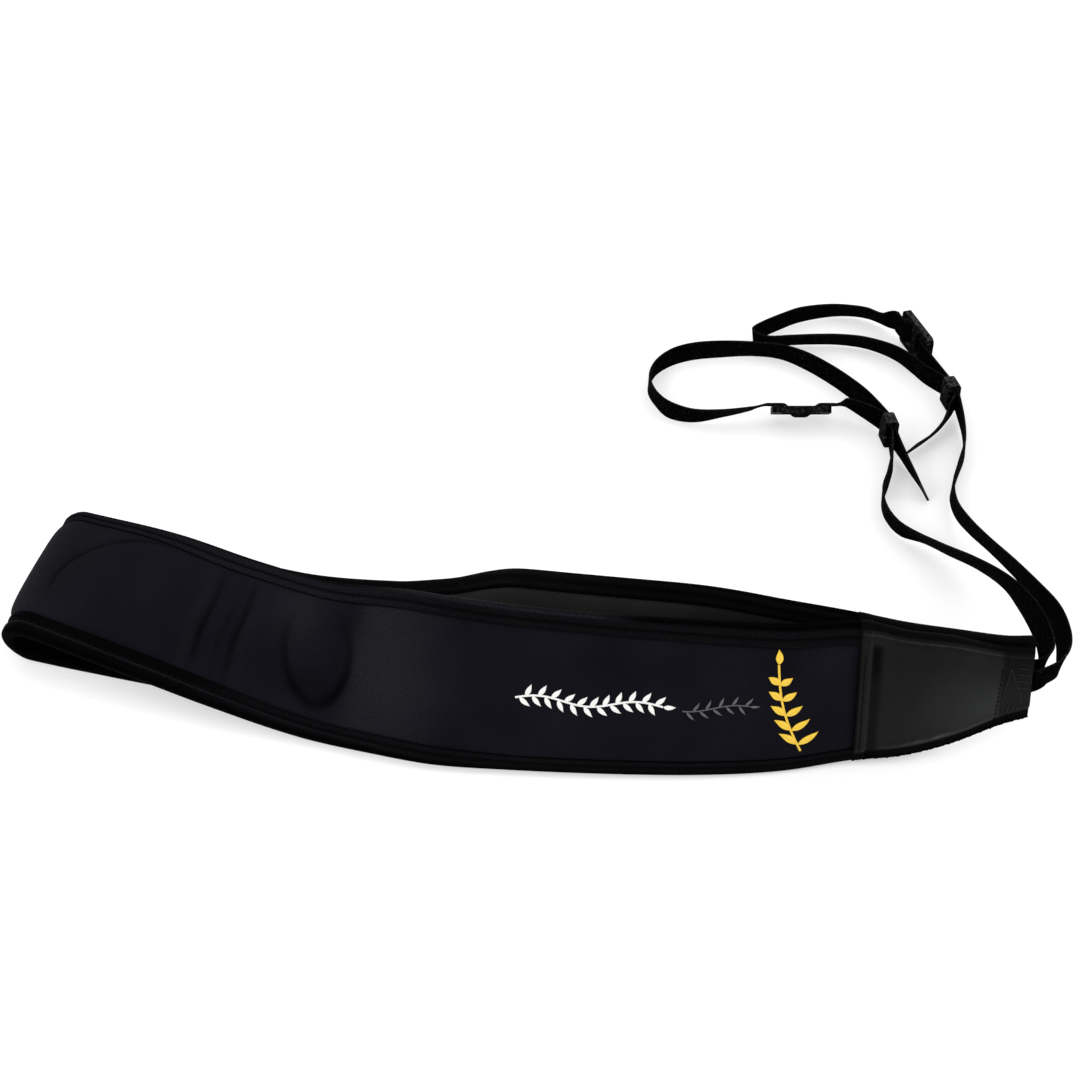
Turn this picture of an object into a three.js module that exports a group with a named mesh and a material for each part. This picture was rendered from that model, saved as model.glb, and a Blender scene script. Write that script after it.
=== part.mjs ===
// Padded camera neck strap, folded in two and set down on a table.
//
// A wide band of soft foam rubber carries the weight on the neck. Its long edges are bound in folded
// tape, each end narrows in a leather pocket, and a thin webbing strap is sewn into each pocket. The
// webbing runs through a flat keeper and a three-bar buckle, makes the loop that goes round a camera's
// lug, and comes back through the keeper as a short tail.
//
// Millimetres, +Z up, the table at z = 0. The front run of the band faces -Y and the fold is at -X.

import * as THREE from 'three';

// ---------------------------------------------------------------- driving dimensions
const BAND_WIDTH = 62;
const FOAM_THICK = 3.4;
const LINING_THICK = 0.9;
const GAP = 0.3;
const BAND_THICK = FOAM_THICK + GAP + LINING_THICK;

const BINDING_WIDTH = 7;
const BINDING_THICK = 0.9;

const LEATHER_THICK = 1.1;
const LEATHER_LINER_THICK = 1.0;
const LEATHER_TURN = 4;
const LEATHER_CROWN = 0.8;
const POCKET_DEPTH_AT_SEAM = BAND_THICK;
const POCKET_DEPTH_AT_TIP = 3.8;
const TIP_WIDTH = 31;

const WEB_WIDTH = 9.5;
const WEB_THICK = 1.1;
const WEB_TUCK = 18;

const KEEPER_WALL = 1.2;
const KEEPER_LENGTH = 7;
const KEEPER_CORNER = 1.4;
const KEEPER_HOLE_CORNER = 0.25;
const LAYER_PITCH = WEB_THICK + 0.4;

const BUCKLE_LENGTH = 24;
const BUCKLE_WIDTH = 15.5;
const BUCKLE_THICK = 2.8;
const BUCKLE_BAR = 3.6;
const BUCKLE_SLOT = 6.2;
const BUCKLE_RIM = 2.4;
const BUCKLE_CORNER = 2.2;
const BUCKLE_SLOT_CORNER = 0.8;

// The foam's face: how far it stands up in the middle, in the fold, and where the twist squeezes it
// into an oval pillow. The pillow lies that far before the fold, and that share of the way across.
const FOAM_CROWN = 0.6;
const FOLD_PUFF = 2.2;
const FOLD_PUFF_REACH = 13;
const PILLOW_HEIGHT = 1;
const PILLOW_BEFORE_FOLD = 112.5;
const PILLOW_ACROSS = 0.53;
const PILLOW_HALF_LENGTH = 11;
const PILLOW_HALF_WIDTH = 14;

// The rows below are measured from a point beside the pad. The strap is then moved so that the middle
// of its outline is at the origin.
const MIDDLE_X = -3.1;
const MIDDLE_Y = 67;

// ---------------------------------------------------------------- tables
// The lower edge of the band's outer face, and the direction across the band from there:
// x, y and lift of the edge, heading and rise of the cross direction in degrees, width of the band.
const BAND_COLUMNS = ['x', 'y', 'lift', 'heading', 'rise', 'width'];
const FRONT_RUN = [
  [178, -56, 13.2, 90, 87, TIP_WIDTH],
  [167.5, -58.5, 11.6, 90, 87, 35.5],
  [149, -64.2, 7.5, 90, 87, 48.5],
  [131, -67.1, 4.2, 88, 87, 56.5],
  [113.5, -67.5, 2.4, 86, 86, BAND_WIDTH],
  [87.5, -71.8, 1, 86, 81, BAND_WIDTH],
  [58, -74.4, 1.5, 87, 75, BAND_WIDTH],
  [22, -74.2, 2, 87, 70, BAND_WIDTH],
  [-15, -72.3, 2.5, 86, 63, BAND_WIDTH],
  [-40, -69.8, 3, 85, 52, BAND_WIDTH],
  [-62, -64.2, 4, 84, 37, BAND_WIDTH],
  [-88, -56, 5.1, 80, 26.6, BAND_WIDTH],
  [-121.5, -45.5, 11, 73, 20.6, BAND_WIDTH],
  [-155.5, -31.5, 15.4, 70, 17.8, BAND_WIDTH],
  [-191.1, -16.5, 20.1, 69.5, 10, BAND_WIDTH],
];
const BACK_RUN = [
  [-192.6, -10.6, 0.5, 69.5, 12, BAND_WIDTH],
  [-162, -19.6, 0, 69.5, 13, BAND_WIDTH],
  [-133, -27.9, 0, 71, 13, BAND_WIDTH],
  [-97, -38.6, 0, 77, 13, BAND_WIDTH],
  [-60, -46, 0, 83, 16.5, BAND_WIDTH],
  [-44, -48.5, 0, 84, 21, BAND_WIDTH],
  [-32, -50, 0, 85, 26, BAND_WIDTH],
  [-19, -51, 0, 86, 36, BAND_WIDTH],
  [-4, -52, 0, 86, 51, BAND_WIDTH],
  [22, -54, 0, 87, 59, BAND_WIDTH],
  [58, -55.5, 0, 87, 67.5, BAND_WIDTH],
  [87, -56, 0.3, 86, 78.5, BAND_WIDTH],
  [113.5, -57, 0.8, 86, 86, BAND_WIDTH],
  [131, -56, 3.2, 88, 87, 55.2],
  [149, -54.5, 7.5, 90, 87, 46.6],
  [167.5, -50, 12.5, 90, 87, 35],
  [178, -47, 14, 90, 87, TIP_WIDTH],
];
const ROWS_PER_POCKET = 4;
const FOLD_STEPS = 6;

// The middle of each webbing strap: x, y, height, and its lean from upright towards the left-hand
// side of the way it runs, in degrees.
const WEB_COLUMNS = ['x', 'y', 'height', 'lean'];
const INNER_WEB = {
  toKeeper: [
    [183, -46, 30, -4],
    [185, -40, 30.5, -30],
    [185, -31, 30.5, -32],
    [183.5, -19.5, 29, -27],
    [180.5, -5.5, 26, -14],
    [175, 12.5, 21, 12],
    [166.5, 29, 15.5, 26],
    [156.5, 43, 10.5, 31],
    [148.5, 54, 7, 32],
    [140.6, 62, 5.5, 14],
    [136.2, 72.6, 5, 6],
    [135.8, 83, 5, 0],
    [138.6, 93.5, 5, 0],
    [141, 104, 6, 2],
  ],
  keeper: { x: 141, y: 122.5, height: 6.5, heading: 102, lean: -4 },
  mainSide: -1,
  loop: [
    [130.5, 134, 8.4, 14],
    [124.5, 136, 10.1, 34],
  ],
  buckle: { x: 106, y: 135, height: 9.7, heading: 180, lean: 49 },
  buckleSide: -1,
  loopEnd: [
    [86, 133.2, 9.2, 46],
    [74, 133, 6.9, 36],
    [62, 134, 5, 18],
    [52.5, 138, 5, 5],
    [47.2, 146, 5, 6],
    [45, 155.5, 5, -2],
    [47.6, 165.4, 5, -7],
    [54.4, 173, 5, -4],
    [63.5, 177.2, 5, -4],
    [75, 178.8, 5, -7],
    [88.5, 179, 5, -15],
    [100, 177, 5, -13],
    [110, 171, 5, -2],
    [119.5, 162, 5, 3],
    [127.5, 152.5, 5, 6],
    [133.5, 143, 5.5, 8],
  ],
  tail: [
    [145, 110, 6, -5],
    [147.6, 102, 5, -12],
    [150.5, 92, 5, -20],
    [152.4, 84, 5, -23],
  ],
};
const OUTER_WEB = {
  toKeeper: [
    [183, -52, 30.5, -6],
    [188.5, -48, 31, -10],
    [191.2, -40, 31.5, -29],
    [192.1, -28.5, 30, -27],
    [191, -14.5, 27.5, -18],
    [187.1, 1, 24, -4],
    [180.8, 22, 18.5, 7],
    [173.5, 43.5, 12.5, 14],
    [167.5, 60, 8.5, 9],
    [164, 73, 6, 3],
    [163.5, 85.5, 5, -4],
    [166.5, 97.5, 5, -4],
    [170.5, 111.5, 5, 0],
    [171.5, 124.5, 5.5, 2],
  ],
  keeper: { x: 168, y: 146.5, height: 6.5, heading: 106, lean: -3 },
  mainSide: 1,
  loop: [],
  buckle: { x: 154.7, y: 180.7, height: 8, heading: 111, lean: -4 },
  buckleSide: 1,
  loopEnd: [
    [145.4, 197.6, 6, 22],
    [138.5, 203.1, 5.5, 26],
    [131, 205.8, 5, 26],
    [121.5, 205.8, 5, 20],
    [109.5, 202.8, 5, 12],
    [101.3, 198.1, 5, 9],
    [92.6, 191.8, 5, 5],
    [89.4, 187.2, 5, -6],
    [94.6, 184.2, 5, -24],
    [104, 185, 5, -29],
    [113, 185.6, 5, -29],
    [123.5, 185.6, 5, -28],
    [133.5, 184, 5, -25],
    [141.5, 180.5, 5, -20],
    [148.5, 175.5, 5, -12],
    [154, 168, 5.5, -4],
    [159, 160, 6, 0],
  ],
  tail: [
    [166, 134.5, 6, 6],
    [162.5, 127, 5.5, 22],
    [156.5, 119, 5, 34],
    [149.5, 112, 5, 34],
  ],
};

// ---------------------------------------------------------------- materials
function finish(colour, roughness) {
  return new THREE.MeshStandardMaterial({ color: colour, roughness, metalness: 0 });
}
const MATERIALS = {
  foamFace: () => finish(0x14141c, 0.9),
  lining: () => finish(0x2a2a2a, 0.95),
  binding: () => finish(0x0c0c0e, 0.7),
  leather: () => finish(0x2b2c2b, 0.5),
  webbing: () => finish(0x0a0a0a, 0.75),
  plastic: () => finish(0x101211, 0.35),
};

// ---------------------------------------------------------------- curves through table rows
function knotsOf(points) {
  const knots = [0];
  for (let i = 1; i < points.length; i += 1) {
    knots.push(knots[i - 1] + points[i].distanceTo(points[i - 1]));
  }
  return knots;
}

// A smooth curve through values at uneven knots: each piece is a cubic whose end slopes are taken
// across the neighbouring knots.
function smooth(knots, values, at) {
  const last = knots.length - 1;
  let i = 0;
  while (i < last - 1 && at >= knots[i + 1]) i += 1;
  const slope = (j) => {
    const before = Math.max(j - 1, 0);
    const after = Math.min(j + 1, last);
    return (values[after] - values[before]) / (knots[after] - knots[before]);
  };
  const span = knots[i + 1] - knots[i];
  const t = (at - knots[i]) / span;
  const rise = t * t * (3 - 2 * t);
  const leave = t * (1 - t) * (1 - t) * span;
  const arrive = t * t * (t - 1) * span;
  return values[i] * (1 - rise) + values[i + 1] * rise + slope(i) * leave + slope(i + 1) * arrive;
}

function smoothVector(knots, vectors, at) {
  const part = (axis) => smooth(knots, vectors.map((v) => v[axis]), at);
  return new THREE.Vector3(part('x'), part('y'), part('z'));
}

function named(rows, columns) {
  return rows.map((row) => Object.fromEntries(columns.map((name, i) => [name, row[i]])));
}

function spherical(heading, rise) {
  const turn = THREE.MathUtils.degToRad(heading);
  const lift = THREE.MathUtils.degToRad(rise);
  const flat = Math.cos(lift);
  return new THREE.Vector3(flat * Math.cos(turn), flat * Math.sin(turn), Math.sin(lift));
}

// How far each side of a place its direction is taken from, on the band and on the webbing.
const BAND_PROBE = 0.5;
const WEB_PROBE = 0.3;

// ---------------------------------------------------------------- the band's own coordinates
// s runs along the lower edge from the front tip, round the fold, to the back tip. w runs across the
// band from that edge, and d runs inwards from the outer face.
function makeBand() {
  const front = named(FRONT_RUN, BAND_COLUMNS);
  const back = named(BACK_RUN, BAND_COLUMNS);
  const placed = (row) => ({
    edge: new THREE.Vector3(row.x, row.y, row.lift),
    across: spherical(row.heading, row.rise),
    width: row.width,
  });
  const fold = foldRows(placed(front.at(-1)), placed(back[0]));
  const rows = [...front.map(placed), ...fold, ...back.map(placed)];
  const edges = rows.map((row) => row.edge);
  const knots = knotsOf(edges);
  const acrosses = rows.map((row) => row.across);
  const widths = rows.map((row) => row.width);
  const edge = (s) => smoothVector(knots, edges, s);
  const across = (s) => smoothVector(knots, acrosses, s).normalize();
  const width = (s) => smooth(knots, widths, s);
  const point = (s, w, d) => {
    const side = across(s);
    const before = edge(s - BAND_PROBE).addScaledVector(across(s - BAND_PROBE), w);
    const after = edge(s + BAND_PROBE).addScaledVector(across(s + BAND_PROBE), w);
    const inward = after.sub(before).cross(side).normalize();
    return edge(s).addScaledVector(side, w).addScaledVector(inward, d);
  };
  const foldStart = FRONT_RUN.length - 1;
  return {
    point,
    width,
    across,
    length: knots.at(-1),
    frontSeam: knots[ROWS_PER_POCKET],
    backSeam: knots[rows.length - 1 - ROWS_PER_POCKET],
    foldStart: knots[foldStart],
    foldEnd: knots[foldStart + FOLD_STEPS],
  };
}

// The fold is a half turn between the last row of the front run and the first row of the back run,
// round an axis that lies across the band.
function foldRows(top, bottom) {
  const across = top.across.clone().add(bottom.across).normalize();
  const reach = top.edge.clone().sub(bottom.edge);
  const slide = reach.dot(across) / 2;
  const out = reach.clone().addScaledVector(across, -2 * slide);
  const radius = out.length() / 2;
  out.normalize();
  const ahead = out.clone().cross(across);
  if (ahead.x > 0) ahead.negate();
  const centre = top.edge.clone().add(bottom.edge).multiplyScalar(0.5);
  const rows = [];
  for (let i = 1; i < FOLD_STEPS; i += 1) {
    const angle = (Math.PI * i) / FOLD_STEPS;
    const edge = centre.clone()
      .addScaledVector(out, radius * Math.cos(angle))
      .addScaledVector(ahead, radius * Math.sin(angle))
      .addScaledVector(across, slide * Math.cos(angle));
    const mixed = top.across.clone().lerp(bottom.across, i / FOLD_STEPS).normalize();
    rows.push({ edge, across: mixed, width: top.width });
  }
  return rows;
}

// ---------------------------------------------------------------- closed solids from sections
// rings is a list of equal rings of points, each the outline of one cross section. outline is the
// same section drawn flat. It covers the two ends, and it says which way to split each side panel,
// so that two layers of a twisted band are split alike and keep their gap.
function loft(rings, outline) {
  const size = rings[0].length;
  const positions = [];
  for (const ring of rings) {
    for (const p of ring) positions.push(p.x, p.y, p.z);
  }
  const faces = [];
  for (let i = 0; i + 1 < rings.length; i += 1) {
    for (let j = 0; j < size; j += 1) {
      const k = (j + 1) % size;
      const a = i * size + j;
      const b = i * size + k;
      if (outline[k].x >= outline[j].x) {
        faces.push([a, b, b + size], [a, b + size, a + size]);
      } else {
        faces.push([a, b, a + size], [b, b + size, a + size]);
      }
    }
  }
  const lastRing = (rings.length - 1) * size;
  const mirrored = THREE.ShapeUtils.isClockWise(outline);
  for (const triangle of THREE.ShapeUtils.triangulateShape(outline, [])) {
    const [a, b, c] = mirrored ? triangle.toReversed() : triangle;
    faces.push([c, b, a], [lastRing + a, lastRing + b, lastRing + c]);
  }
  const geometry = new THREE.BufferGeometry();
  geometry.setAttribute('position', new THREE.Float32BufferAttribute(positions, 3));
  const outwards = signedVolume(positions, faces) > 0;
  const index = faces.flatMap(([a, b, c]) => (outwards ? [a, b, c] : [a, c, b]));
  geometry.setIndex(index);
  geometry.computeVertexNormals();
  return geometry;
}

function signedVolume(positions, faces) {
  const corner = (i) => new THREE.Vector3().fromArray(positions, 3 * i);
  let total = 0;
  for (const [a, b, c] of faces) {
    total += corner(a).dot(corner(b).cross(corner(c)));
  }
  return total;
}

function stations(start, end, spacing) {
  const count = Math.max(1, Math.round((end - start) / spacing));
  return Array.from({ length: count + 1 }, (_, i) => start + ((end - start) * i) / count);
}

// A solid in the band's own coordinates: section(s) gives the outline as [w, d] pairs.
function bandSolid(band, places, section) {
  const rings = places.map((s) => section(s).map(([w, d]) => band.point(s, w, d)));
  const outline = section(places[0]).map(([w, d]) => new THREE.Vector2(w, d));
  return loft(rings, outline);
}

function meshOf(name, geometry, material) {
  const mesh = new THREE.Mesh(geometry, material);
  mesh.name = name;
  return mesh;
}

// ---------------------------------------------------------------- the padded band
const RUN_STEP = 9.5;
const FOLD_STEP = 4.6;

function padStations(band) {
  const front = stations(band.frontSeam + GAP, band.foldStart, RUN_STEP);
  const fold = stations(band.foldStart, band.foldEnd, FOLD_STEP);
  const back = stations(band.foldEnd, band.backSeam - GAP, RUN_STEP);
  return [...front, ...fold.slice(1), ...back.slice(1)];
}

function bell(x) {
  return Math.exp(-x * x);
}

// How far the outer face lies inside its flat surface. It stands up between the bindings, more so in
// the fold, and at the oval pillow that the twist squeezes out of the front run.
function foamRelief(band, s, w) {
  const half = band.width(s) / 2;
  const inFromEdge = (w - half) / (half - BINDING_WIDTH);
  const arch = Math.max(0, 1 - inFromEdge * inFromEdge);
  const fromFold = (s - (band.foldStart + band.foldEnd) / 2) / FOLD_PUFF_REACH;
  const crown = (FOAM_CROWN + FOLD_PUFF * bell(fromFold)) * arch;
  const along = (s - (band.foldStart - PILLOW_BEFORE_FOLD)) / PILLOW_HALF_LENGTH;
  const over = (w - PILLOW_ACROSS * band.width(s)) / PILLOW_HALF_WIDTH;
  return -crown - PILLOW_HEIGHT * bell(along) * bell(over);
}

// The width between the bindings, cut into equal strips.
const SHOULDER = BINDING_WIDTH + GAP;
const STRIPS = 5;
function stripEdges(width) {
  const strip = (width - 2 * SHOULDER) / STRIPS;
  return Array.from({ length: STRIPS + 1 }, (_, i) => SHOULDER + i * strip);
}

// The foam's edges are thinned to a tongue that each binding wraps.
const FOAM_TONGUE = BINDING_THICK + GAP;
function foamSection(band) {
  const tongue = FOAM_TONGUE;
  return (s) => {
    const width = band.width(s);
    const strips = stripEdges(width);
    return [
      [tongue, tongue],
      [SHOULDER, tongue],
      ...strips.map((w) => [w, foamRelief(band, s, w)]),
      [width - SHOULDER, tongue],
      [width - tongue, tongue],
      [width - tongue, FOAM_THICK],
      ...strips.toReversed().map((w) => [w, FOAM_THICK]),
      [tongue, FOAM_THICK],
    ];
  };
}

function liningSection(band) {
  return (s) => {
    const strips = stripEdges(band.width(s));
    return [
      ...strips.map((w) => [w, FOAM_THICK + GAP]),
      ...strips.toReversed().map((w) => [w, BAND_THICK]),
    ];
  };
}

// Tape folded round one edge of the band. fromUpperEdge measures it from the far side.
const BINDING_SOFTNESS = 0.8;
function bindingSection(band, fromUpperEdge) {
  const soft = BINDING_SOFTNESS;
  const tape = [
    [BINDING_WIDTH, 0],
    [BINDING_WIDTH, BINDING_THICK],
    [BINDING_THICK, BINDING_THICK],
    [BINDING_THICK, BAND_THICK - BINDING_THICK],
    [BINDING_WIDTH, BAND_THICK - BINDING_THICK],
    [BINDING_WIDTH, BAND_THICK],
    [soft, BAND_THICK],
    [0, BAND_THICK - soft],
    [0, soft],
    [soft, 0],
  ];
  return (s) => tape.map(([w, d]) => [fromUpperEdge ? band.width(s) - w : w, d]);
}

// ---------------------------------------------------------------- the leather pockets
// t runs from 0 at the seam with the band to 1 at the tip.
function pocketDepth(t) {
  return THREE.MathUtils.lerp(POCKET_DEPTH_AT_SEAM, POCKET_DEPTH_AT_TIP, t);
}

// The outer leather is turned over both edges, and its turned edges hold the liner between them. Its
// crown is a parabola, three quarters as high a quarter of the way across as in the middle.
const LEATHER_SOFTNESS = 0.6;
const CROWN_AT_QUARTER = 0.75;
const POCKET_STEP = 7.5;
function pocketOuterSection(band, depthAt, crownAt) {
  const soft = LEATHER_SOFTNESS;
  return (s) => {
    const width = band.width(s);
    const depth = depthAt(s);
    const crown = crownAt(s);
    const lowCrown = CROWN_AT_QUARTER * crown;
    const quarter = width / 4;
    const inner = depth - LEATHER_LINER_THICK;
    return [
      [soft, 0],
      [quarter, -lowCrown],
      [2 * quarter, -crown],
      [3 * quarter, -lowCrown],
      [width - soft, 0],
      [width, soft],
      [width, depth - soft],
      [width - soft, depth],
      [width - LEATHER_TURN, depth],
      [width - LEATHER_TURN, inner],
      [width - LEATHER_THICK, inner],
      [width - LEATHER_THICK, LEATHER_THICK],
      [3 * quarter, LEATHER_THICK - lowCrown],
      [2 * quarter, LEATHER_THICK - crown],
      [quarter, LEATHER_THICK - lowCrown],
      [LEATHER_THICK, LEATHER_THICK],
      [LEATHER_THICK, inner],
      [LEATHER_TURN, inner],
      [LEATHER_TURN, depth],
      [soft, depth],
      [0, depth - soft],
      [0, soft],
    ];
  };
}

function pocketLinerSection(band, depthAt) {
  const inset = LEATHER_TURN + GAP;
  return (s) => {
    const width = band.width(s);
    const depth = depthAt(s);
    const near = depth - LEATHER_LINER_THICK;
    return [[inset, near], [width - inset, near], [width - inset, depth], [inset, depth]];
  };
}

function makePocket(band, name, seam, tip) {
  const share = (s) => (s - seam) / (tip - seam);
  const depthAt = (s) => pocketDepth(share(s));
  const crownAt = (s) => LEATHER_CROWN * Math.sqrt(1 - share(s));
  const places = stations(Math.min(seam, tip), Math.max(seam, tip), POCKET_STEP);
  const outer = bandSolid(band, places, pocketOuterSection(band, depthAt, crownAt));
  const liner = bandSolid(band, places, pocketLinerSection(band, depthAt));
  return [
    meshOf(`leather_${name}_outer`, outer, MATERIALS.leather()),
    meshOf(`leather_${name}_liner`, liner, MATERIALS.leather()),
  ];
}

// ---------------------------------------------------------------- webbing
function rowPoint(row) {
  return new THREE.Vector3(row.x, row.y, row.height);
}

// The flat frame of a hard piece that the webbing runs through: along, across and out of its face.
function pieceFrame(piece) {
  const along = spherical(piece.heading, 0);
  const left = new THREE.Vector3(0, 0, 1).cross(along);
  const lean = THREE.MathUtils.degToRad(piece.lean);
  const across = new THREE.Vector3(0, 0, Math.cos(lean)).addScaledVector(left, Math.sin(lean));
  const out = along.clone().cross(across);
  return { centre: rowPoint(piece), along, across, out };
}

// Rows that carry a strap straight through a piece. reverse runs it back the other way.
const KEEPER_REACH = 6;
const BUCKLE_REACH = 14.5;
const NEAR_END = 0.87;
function rowsThrough(piece, reach, offset, reverse) {
  const { centre, along, out } = pieceFrame(piece);
  const lean = reverse ? -piece.lean : piece.lean;
  const forwards = [-1, -NEAR_END, 0, NEAR_END, 1];
  const steps = reverse ? forwards.toReversed() : forwards;
  return steps.map((step) => ({
    at: centre.clone().addScaledVector(along, step * reach).addScaledVector(out, offset),
    lean,
    piece: step === 0 ? piece : null,
  }));
}

function webRows(band, plan, tip, inwards) {
  const tucked = [WEB_TUCK, WEB_TUCK / 2, 0].map((depth) => {
    const s = tip + inwards * depth;
    return {
      at: band.point(s, band.width(s) / 2, LEATHER_THICK + GAP + WEB_THICK / 2),
      lean: 90 - THREE.MathUtils.radToDeg(Math.asin(band.across(s).z)),
    };
  });
  const free = (rows) => named(rows, WEB_COLUMNS).map((row) => ({ at: rowPoint(row), lean: row.lean }));
  const side = (plan.mainSide * LAYER_PITCH) / 2;
  return [
    ...tucked,
    ...free(plan.toKeeper),
    ...rowsThrough(plan.keeper, KEEPER_REACH, side, false),
    ...free(plan.loop),
    ...rowsThrough(plan.buckle, BUCKLE_REACH, 0, false),
    ...free(plan.loopEnd),
    ...rowsThrough(plan.keeper, KEEPER_REACH, -side, true),
    ...free(plan.tail),
  ];
}

const WEB_CORNERS = [[-1, -1], [1, -1], [1, 1], [-1, 1]];

// How far the strap rises off its line to pass over the buckle's middle bar, x from that bar.
const BUCKLE_RISE = BUCKLE_THICK + 2 * GAP + WEB_THICK;
const PAST_BAR = 0.2;
const SHORT_OF_SLOT = 0.6;
function overBar(x) {
  const flat = BUCKLE_BAR / 2 + PAST_BAR;
  const foot = flat + BUCKLE_SLOT - SHORT_OF_SLOT;
  const t = THREE.MathUtils.clamp((foot - Math.abs(x)) / (foot - flat), 0, 1);
  return BUCKLE_RISE * t * t * (3 - 2 * t);
}

const WEB_STEP = 4.4;
const WEB_STEP_IN_BUCKLE = 1.5;
function makeWebbing(band, name, plan, tip, inwards) {
  const rows = webRows(band, plan, tip, inwards);
  const points = rows.map((row) => row.at);
  const knots = knotsOf(points);
  const leans = rows.map((row) => row.lean);
  const middle = (s) => smoothVector(knots, points, s);
  const buckle = pieceFrame(plan.buckle);
  const frameAt = (s) => {
    const along = middle(s + WEB_PROBE).sub(middle(s - WEB_PROBE)).normalize();
    const left = new THREE.Vector3(0, 0, 1).cross(along).normalize();
    const up = along.clone().cross(left);
    const lean = THREE.MathUtils.degToRad(smooth(knots, leans, s));
    const across = up.multiplyScalar(Math.cos(lean)).addScaledVector(left, Math.sin(lean));
    return { across, out: along.clone().cross(across) };
  };
  const buckleAt = knots[rows.findIndex((row) => row.piece === plan.buckle)];
  const near = BUCKLE_LENGTH / 2;
  const places = [
    ...stations(0, buckleAt - near, WEB_STEP),
    ...stations(buckleAt - near, buckleAt + near, WEB_STEP_IN_BUCKLE).slice(1),
    ...stations(buckleAt + near, knots.at(-1), WEB_STEP).slice(1),
  ];
  const rings = places.map((s) => {
    const { across, out } = frameAt(s);
    const centre = middle(s);
    const fromBar = centre.clone().sub(buckle.centre).dot(buckle.along);
    const x = Math.abs(s - buckleAt) < near ? fromBar : near;
    const slope = (overBar(x + WEB_PROBE) - overBar(x - WEB_PROBE)) / (2 * WEB_PROBE);
    const face = out.addScaledVector(buckle.along, -plan.buckleSide * slope).normalize();
    centre.addScaledVector(buckle.out, plan.buckleSide * overBar(x));
    const half = across.multiplyScalar(WEB_WIDTH / 2);
    const skin = face.multiplyScalar(WEB_THICK / 2);
    const corner = ([a, b]) => centre.clone().addScaledVector(half, a).addScaledVector(skin, b);
    return WEB_CORNERS.map(corner);
  });
  const outline = WEB_CORNERS.map(([x, y]) => new THREE.Vector2(x, y));
  return meshOf(name, loft(rings, outline), MATERIALS.webbing());
}

// ---------------------------------------------------------------- hard pieces on the webbing
function roundedRectangle(target, width, height, radius) {
  const x = width / 2;
  const y = height / 2;
  target.moveTo(-x + radius, -y);
  target.lineTo(x - radius, -y);
  target.absarc(x - radius, -y + radius, radius, -Math.PI / 2, 0, false);
  target.lineTo(x, y - radius);
  target.absarc(x - radius, y - radius, radius, 0, Math.PI / 2, false);
  target.lineTo(-x + radius, y);
  target.absarc(-x + radius, y - radius, radius, Math.PI / 2, Math.PI, false);
  target.lineTo(-x, -y + radius);
  target.absarc(-x + radius, -y + radius, radius, Math.PI, 1.5 * Math.PI, false);
  return target;
}

function placeOn(mesh, centre, xAxis, yAxis, zAxis) {
  mesh.quaternion.setFromRotationMatrix(new THREE.Matrix4().makeBasis(xAxis, yAxis, zAxis));
  mesh.position.copy(centre);
  return mesh;
}

// A flat outline with holes, made depth thick and centred on its own middle.
function plate(shape, depth, curveSegments) {
  const geometry = new THREE.ExtrudeGeometry(shape, { depth, bevelEnabled: false, curveSegments });
  geometry.translate(0, 0, -depth / 2);
  return geometry;
}

function makeKeeper(name, keeper) {
  const holeWide = WEB_WIDTH + 2 * GAP;
  const holeDeep = LAYER_PITCH + WEB_THICK + 2 * GAP;
  const wide = holeWide + 2 * KEEPER_WALL;
  const deep = holeDeep + 2 * KEEPER_WALL;
  const shape = roundedRectangle(new THREE.Shape(), wide, deep, KEEPER_CORNER);
  shape.holes.push(roundedRectangle(new THREE.Path(), holeWide, holeDeep, KEEPER_HOLE_CORNER));
  const geometry = plate(shape, KEEPER_LENGTH, 3);
  const { centre, along, across, out } = pieceFrame(keeper);
  return placeOn(meshOf(name, geometry, MATERIALS.plastic()), centre, across, out, along);
}

function makeBuckle(name, buckle, side) {
  const shape = roundedRectangle(new THREE.Shape(), BUCKLE_LENGTH, BUCKLE_WIDTH, BUCKLE_CORNER);
  const slotWide = BUCKLE_WIDTH - 2 * BUCKLE_RIM;
  for (const end of [-1, 1]) {
    const slot = roundedRectangle(new THREE.Path(), BUCKLE_SLOT, slotWide, BUCKLE_SLOT_CORNER);
    const shift = (end * (BUCKLE_BAR + BUCKLE_SLOT)) / 2;
    const moved = slot.getPoints(3).map((p) => new THREE.Vector2(p.x + shift, p.y));
    shape.holes.push(new THREE.Path(moved));
  }
  const geometry = plate(shape, BUCKLE_THICK, 4);
  const { centre, along, across, out } = pieceFrame(buckle);
  centre.addScaledVector(out, side * BUCKLE_RISE / 2);
  return placeOn(meshOf(name, geometry, MATERIALS.plastic()), centre, along, across, out);
}

// ---------------------------------------------------------------- the whole strap
const band = makeBand();
const places = padStations(band);
const strap = new THREE.Group();
strap.position.set(-MIDDLE_X, -MIDDLE_Y, 0);
strap.add(
  meshOf('neck_pad', bandSolid(band, places, foamSection(band)), MATERIALS.foamFace()),
  meshOf('pad_lining', bandSolid(band, places, liningSection(band)), MATERIALS.lining()),
  meshOf('binding_lower', bandSolid(band, places, bindingSection(band, false)), MATERIALS.binding()),
  meshOf('binding_upper', bandSolid(band, places, bindingSection(band, true)), MATERIALS.binding()),
  ...makePocket(band, 'front', band.frontSeam, 0),
  ...makePocket(band, 'back', band.backSeam, band.length),
  makeWebbing(band, 'webbing_outer', OUTER_WEB, 0, 1),
  makeWebbing(band, 'webbing_inner', INNER_WEB, band.length, -1),
  makeKeeper('keeper_outer', OUTER_WEB.keeper),
  makeKeeper('keeper_inner', INNER_WEB.keeper),
  makeBuckle('buckle_outer', OUTER_WEB.buckle, OUTER_WEB.buckleSide),
  makeBuckle('buckle_inner', INNER_WEB.buckle, INNER_WEB.buckleSide),
);

export default strap;
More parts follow.
